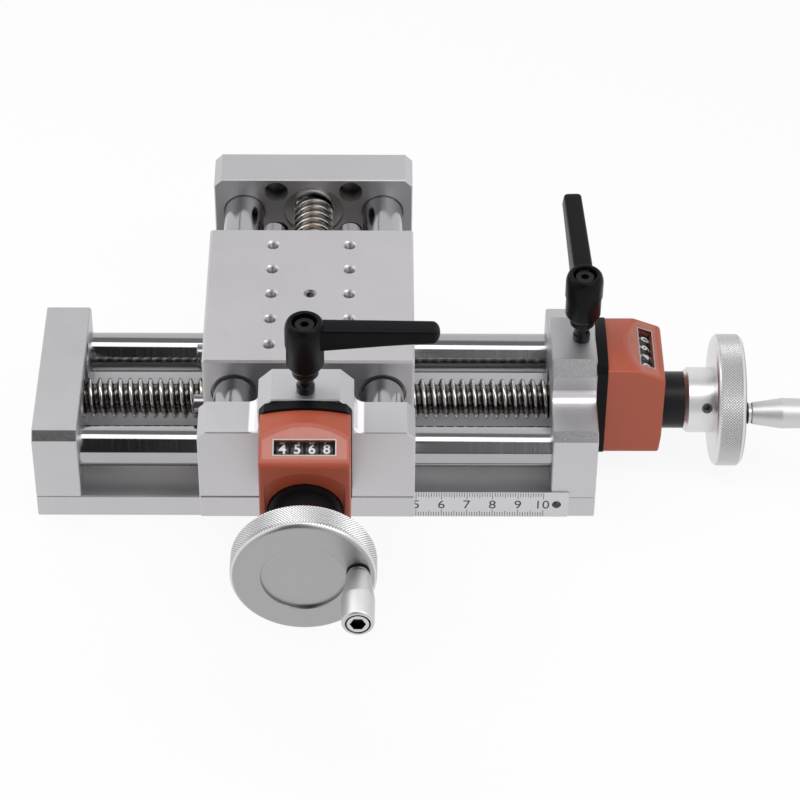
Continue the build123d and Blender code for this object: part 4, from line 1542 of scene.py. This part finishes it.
class Finishes:
    """Every material of the object, made once."""

    def __init__(self, slides: dict[str, Datum]) -> None:
        """Makes the materials; turned ones are centred on each slide's own axes.

        Args:
            slides: Both slides by name.
        """
        frames = {Grain.ALONG_X: "lower", Grain.ALONG_Y: "upper"}
        aluminium = (0.565, 0.555, 0.57)
        self.plate = {name: SatinMetal(f"{name}_drawn_aluminium", aluminium, 0.46, grain=grain).make()
                      for grain, name in frames.items()}
        chamfers = ((53.0, 36.9, 40.1), (44.5, 12.4, 17.6))
        self.block = {name: SawnMetal(f"{name}_sawn_aluminium", aluminium, 0.44, streaks=0.35, sand=0.8,
                                      grain=Grain.ALONG_Z, centre=slide.centre(), turn=slide.turn,
                                      chamfers=chamfers if name == "lower" else (),
                                      mouth=slide.depths("plain_end_block")[1]).make()
                      for name, slide in slides.items()}
        self.slider = SatinMetal("table_aluminium", (0.59, 0.575, 0.59), 0.42, grain=Grain.ALONG_Y,
                                 streaks=0.4).make()
        self.rod, self.thread, self.bearing, self.wheel, self.knurl, self.grip = {}, {}, {}, {}, {}, {}
        self.sleeve, self.lens, self.bronze, self.axle = {}, {}, {}, {}
        for name, slide in slides.items():
            spot = {"centre": slide.centre(), "turn": slide.turn}
            grip = {"centre": slide.centre(0, *slide.middle("grip")[1:]), "turn": slide.turn}
            self.rod[name] = GroundRod(f"{name}_chromed_rod", (0.41, 0.41, 0.425), 0.09, pitch=0.06,
                                       axis=tuple(slide.out), **spot).make()
            self.thread[name] = ThreadSteel(f"{name}_thread_steel", (0.60, 0.58, 0.56), 0.18, **spot).make()
            self.bearing[name] = TurnedMetal(f"{name}_bearing_steel", (0.66, 0.66, 0.68), 0.24, **spot).make()
            self.wheel[name] = FacedMetal(f"{name}_turned_wheel", (0.73, 0.72, 0.73), 0.34, dull=0.54,
                                          front=slide.depths("handwheel")[1], **spot).make()
            self.knurl[name] = KnurledMetal(f"{name}_knurled_rim", (0.63, 0.625, 0.63), 0.36, **spot).make()
            end, head = slide.depths("grip")[1], slide.depths("grip_axle")[1]
            # painted shade inside the grip's end recess, on the grip and on the axle below its head
            self.grip[name] = GreasedMetal(f"{name}_turned_grip", (0.63, 0.62, 0.63), 0.46,
                                           depths=(end - 4.0, end + 1.0), **grip).make()
            self.axle[name] = GreasedMetal(f"{name}_grip_axle", (0.62, 0.62, 0.64), 0.3,
                                           depths=(end - 8.0, head - 0.1), **grip).make()
            self.sleeve[name] = TurnedMetal(f"{name}_black_sleeve", (0.009, 0.009, 0.011), 0.34,
                                            metallic=0.0, specular=0.2, **spot).make()
            self.bronze[name] = TurnedMetal(f"{name}_nut_bronze", (0.60, 0.40, 0.20), 0.34, **spot).make()
            self.lens[name] = self.make_lens(slide)
        self.case = MouldedPlastic("orange_case", ORANGE, 0.42).make()
        self.black_plastic = MouldedPlastic("black_moulding", (0.004, 0.004, 0.005), 0.42,
                                            specular=0.1).make()
        self.drum = MouldedPlastic("drum_black", (0.012, 0.012, 0.014), 0.35, grain_size=0.1).make()
        self.powder_coat = MouldedPlastic("powder_coat", (0.003, 0.0034, 0.0042), 0.34, specular=0.10,
                                          grain_size=0.35, depth=2.5e-5).make()
        self.black_oxide = SatinMetal("black_oxide", (0.012, 0.012, 0.014), 0.30, metallic=0.7).make()
        self.grub_steel = SatinMetal("grub_screw_steel", (0.20, 0.20, 0.21), 0.35).make()
        self.zinc = SatinMetal("zinc_plate", (0.62, 0.62, 0.64), 0.3).make()
        self.screw_steel = SatinMetal("screw_steel", (0.33, 0.32, 0.34), 0.22).make()
        self.polymer = MouldedPlastic("bush_polymer", (0.50, 0.50, 0.51), 0.4).make()
        self.spring = SatinMetal("spring_wire", (0.55, 0.55, 0.57), 0.25).make()
        self.ruler = SatinMetal("ruler_steel", (0.585, 0.585, 0.60), 0.36, grain=Grain.ALONG_X,
                                streaks=0.9).make()
        self.rivet = SatinMetal("rivet_steel", (0.07, 0.07, 0.075), 0.4).make()
        self.silver = SatinMetal("window_silver", (0.40, 0.37, 0.36), 0.5).make()
        self.white_ink = MouldedPlastic("white_figures", (0.86, 0.86, 0.86), 0.4, grain_size=0.1).make()
        self.ink = MouldedPlastic("etched_marks", (0.035, 0.035, 0.04), 0.5, grain_size=0.1).make()
        self.hole_thread = SatinMetal("hole_thread", (0.5, 0.49, 0.5), 0.35).make()

    @staticmethod
    def make_lens(slide: Datum) -> bpy.types.Material:
        """Makes a lens whose clear window lies on the sloping face of a counter.

        Args:
            slide: The counter's slide.

        Returns:
            The material.
        """
        counter = Counter(slide, "")
        middle = counter.on_facet(np.zeros(3))
        tilt = Matrix.Rotation(slide.turn.z, 3, "Z")
        cosine, sine = counter.slope
        lean = Matrix(((sine, 0, cosine), (0, 1, 0), (-cosine, 0, sine)))
        return WindowPlastic(f"{slide.name}_window_lens", ORANGE, 0.12,
                             centre=slide.centre(*middle), turn=Vector((lean @ tilt).to_euler())).make()

    def apply(self, slides: dict[str, Datum]) -> None:
        """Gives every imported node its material.

        Args:
            slides: Both slides by name.
        """
        for name in slides:
            table = {"base_plate": self.plate[name], "plain_end_block": self.block[name],
                     "crank_end_block": self.block[name], "guide_rods": self.rod[name],
                     "bearing_outer_rings": self.bearing[name], "bearing_inner_rings": self.bearing[name],
                     "lead_screw": self.thread[name], "slide_bushes": self.polymer,
                     "lead_nut": self.bronze[name], "counter_flange": self.black_plastic,
                     "counter_case": self.case, "counter_lens": self.lens[name],
                     "drum_axle": self.zinc, "counter_sleeve": self.sleeve[name],
                     "handwheel": self.wheel[name], "grip": self.grip[name], "grip_axle": self.axle[name],
                     "lock_stud": self.black_oxide, "lock_screw": self.black_oxide,
                     "lock_spring": self.spring, "lock_handle": self.powder_coat,
                     "hub_grub_screw": self.grub_steel}
            table.update({f"number_drum_{number}": self.drum for number in range(1, 5)})
            for part, finish in table.items():
                dress([f"{name}_{part}"], finish)
        dress(["lower_slider", "upper_table"], self.slider)
        dress(["base_block_screws"], self.zinc)
        dress(["carriage_screws", "table_screws"], self.screw_steel)
        dress(["ruler"], self.ruler)
        dress(["ruler_rivets"], self.rivet)


# Studio


@dataclass(frozen=True)
class StudioCamera:
    """Camera of the photograph: its place, its aim in degrees, and its focal length in pixels."""

    place: Colour = (23.757, -900.866, 823.578)
    elevation: float = 41.524
    yaw: float = 0.585
    roll: float = 0.544
    focal_pixels: float = 3018.767
    image_pixels: float = 800.0
    sensor: float = 36.0
    clip: tuple[float, float] = (0.05, 50.0)

    def build(self) -> None:
        """Adds the camera and makes it the scene's own."""
        down, side, roll = (math.radians(angle) for angle in (self.elevation, self.yaw, self.roll))
        ahead = Vector((math.sin(side) * math.cos(down), math.cos(side) * math.cos(down), -math.sin(down)))
        right = Vector((math.cos(side), -math.sin(side), 0))
        up = right.cross(ahead)
        cosine, sine = math.cos(roll), math.sin(roll)
        right, up = right * cosine + up * sine, up * cosine - right * sine
        data = bpy.data.cameras.new("photo_camera")
        data.sensor_width, data.lens = self.sensor, self.focal_pixels / self.image_pixels * self.sensor
        data.clip_start, data.clip_end = self.clip
        camera = bpy.data.objects.new("photo_camera", data)
        turn = Matrix((right, up, -ahead)).transposed().to_4x4()
        camera.matrix_world = Matrix.Translation(Vector(self.place) * MILLIMETRE) @ turn
        bpy.context.scene.collection.objects.link(camera)
        bpy.context.scene.camera = camera


@dataclass(frozen=True)
class Card:
    """Grey card that the bright metal mirrors, bent round the X axis; sizes are metres and degrees."""

    name: str
    sides: tuple[float, float]
    low: tuple[float, float]
    high: tuple[float, float]
    level: float
    radius: float = 1.5
    rows: int = 24
    columns: int = 12

    def build(self) -> None:
        """Adds the card, which only mirroring and clear surfaces see.

        Point (i, j) is x between the two sides, and -radius times cosine and radius times sine of an
        angle between the lower and the upper edge, whose angles change evenly from side to side.
        """
        share = np.linspace(0, 1, self.columns)
        x, low, high = (ends[0] + share * (ends[1] - ends[0]) for ends in (self.sides, self.low, self.high))
        angle = np.radians(low + np.linspace(0, 1, self.rows)[:, None] * (high - low))
        grid = np.stack([np.repeat(x[None], self.rows, 0), -self.radius * np.cos(angle),
                         self.radius * np.sin(angle)], axis=-1)
        material, graph = blank_material(self.name)
        graph.add("ShaderNodeOutputMaterial", None, {"Surface": graph.glow(self.level)})
        material.cycles.emission_sampling = "NONE"
        faces = grid_quads(self.rows, self.columns, False, False)
        card = add_mesh(self.name, grid.reshape(-1, 3).tolist(), faces.tolist(), material)
        card.visible_camera = card.visible_diffuse = card.visible_shadow = False


@dataclass(frozen=True)
class Studio:
    """White floor and surround, a strip lamp overhead, and cards that shade what the metal mirrors."""

    box_size: tuple[float, float] = (1.2, 0.16)
    box_place: Colour = (-0.02, -0.042, 0.43)
    box_turn: float = -24.7
    box_watts: float = 1.7
    ambient: float = 0.60
    floor_glow: float = 0.90
    floor_half: float = 4.0
    floor_drop: float = 0.0002
    paper: tuple[float, float, float, float] = (0.92, 0.92, 0.92, 1.0)
    cards: tuple[Card, ...] = (
        Card("left_card", (-0.80, -0.07), (2.5, 2.5), (92.0, 88.0), 0.03),
        Card("right_card", (-0.07, 0.27), (7.0, 7.0), (88.0, 80.0), 0.25),
        Card("low_card", (-0.07, 0.27), (0.3, 0.3), (7.0, 7.0), 0.10),
        Card("overhead_card", (-0.45, 0.35), (92.0, 80.0), (148.0, 108.0), 0.30, radius=1.6))

    def build(self) -> None:
        """Adds floor, lamp, cards and world, and sets how colours are shown."""
        self.add_floor()
        self.add_soft_box()
        self.add_world()
        for card in self.cards:
            card.build()
        bpy.context.scene.view_settings.view_transform = "Standard"

    @staticmethod
    def mirrored(graph: Graph) -> Value:
        """1 for camera, glossy and transmission rays, and 0 for the rays that carry diffuse light."""
        kinds = [graph.out("ShaderNodeLightPath", f"Is {kind} Ray") for kind in
                 ("Camera", "Glossy", "Transmission")]
        return kinds[0].most(kinds[1]).most(kinds[2])

    def add_floor(self) -> None:
        """Large square whose white shows to camera, glossy and transmission rays but keeps its shadow."""
        material, graph = blank_material("white_floor")
        paper = graph.add("ShaderNodeBsdfDiffuse", None, {"Color": self.paper})
        mixed = graph.add("ShaderNodeMixShader", None, {0: self.mirrored(graph) * self.floor_glow,
                                                        1: paper.outputs[0], 2: graph.glow(1.0)})
        graph.add("ShaderNodeOutputMaterial", None, {"Surface": mixed.outputs[0]})
        material.cycles.emission_sampling = "NONE"
        corners = [(x * self.floor_half, y * self.floor_half, 0)
                   for x, y in ((-1, -1), (1, -1), (1, 1), (-1, 1))]
        floor = add_mesh("studio_floor", corners, [(0, 1, 2, 3)], material)
        floor.location.z = -self.floor_drop

    def add_soft_box(self) -> None:
        """Strip lamp over the object, turned a little from the lower slide's direction."""
        light = bpy.data.lights.new("soft_box", "AREA")
        light.shape, light.size, light.size_y = "RECTANGLE", *self.box_size
        light.energy = self.box_watts
        lamp = bpy.data.objects.new("soft_box", light)
        lamp.location = self.box_place
        lamp.rotation_euler.z = math.radians(self.box_turn)
        lamp.visible_camera = False
        bpy.context.scene.collection.objects.link(lamp)

    def add_world(self) -> None:
        """Surround: white where it is seen or mirrored, and a plain level for diffuse light."""
        world = bpy.data.worlds.new("studio_surround")
        world.use_nodes = True
        bpy.context.scene.world = world
        graph = Graph(world.node_tree)
        level = self.mirrored(graph) * (1 - self.ambient) + self.ambient
        sky = graph.add("ShaderNodeBackground", None, {"Color": WHITE, "Strength": level})
        graph.add("ShaderNodeOutputWorld", None, {"Surface": sky.outputs[0]})
        world.cycles.sampling_method = "NONE"


def main() -> None:
    """Builds the camera, the studio, the finishes and every sub-assembly."""
    logging.basicConfig(level=logging.INFO, format="%(message)s")
    StudioCamera().build()
    Studio().build()
    slides = {"lower": Datum.read("lower", (1, 0, 0)), "upper": Datum.read("upper", (0, -1, 0))}
    finishes = Finishes(slides)
    finishes.apply(slides)
    readings = {"lower": "0490", "upper": "4568"}
    drum_rolls = {"lower": -10.0, "upper": 4.0}
    lever_angles = {"lower": 92.5, "upper": 0.0}
    parts = [RulerMarks(), HoleThreads()]
    for name, slide in slides.items():
        parts += [Spindle(slide), Handwheel(slide), Grip(slide), ClampLever(slide, lever_angles[name]),
                  Counter(slide, readings[name], drum_rolls[name])]
    for part in parts:
        part.build(finishes)
        log.info("built %s", type(part).__name__)


if __name__ == "__main__":
    main()
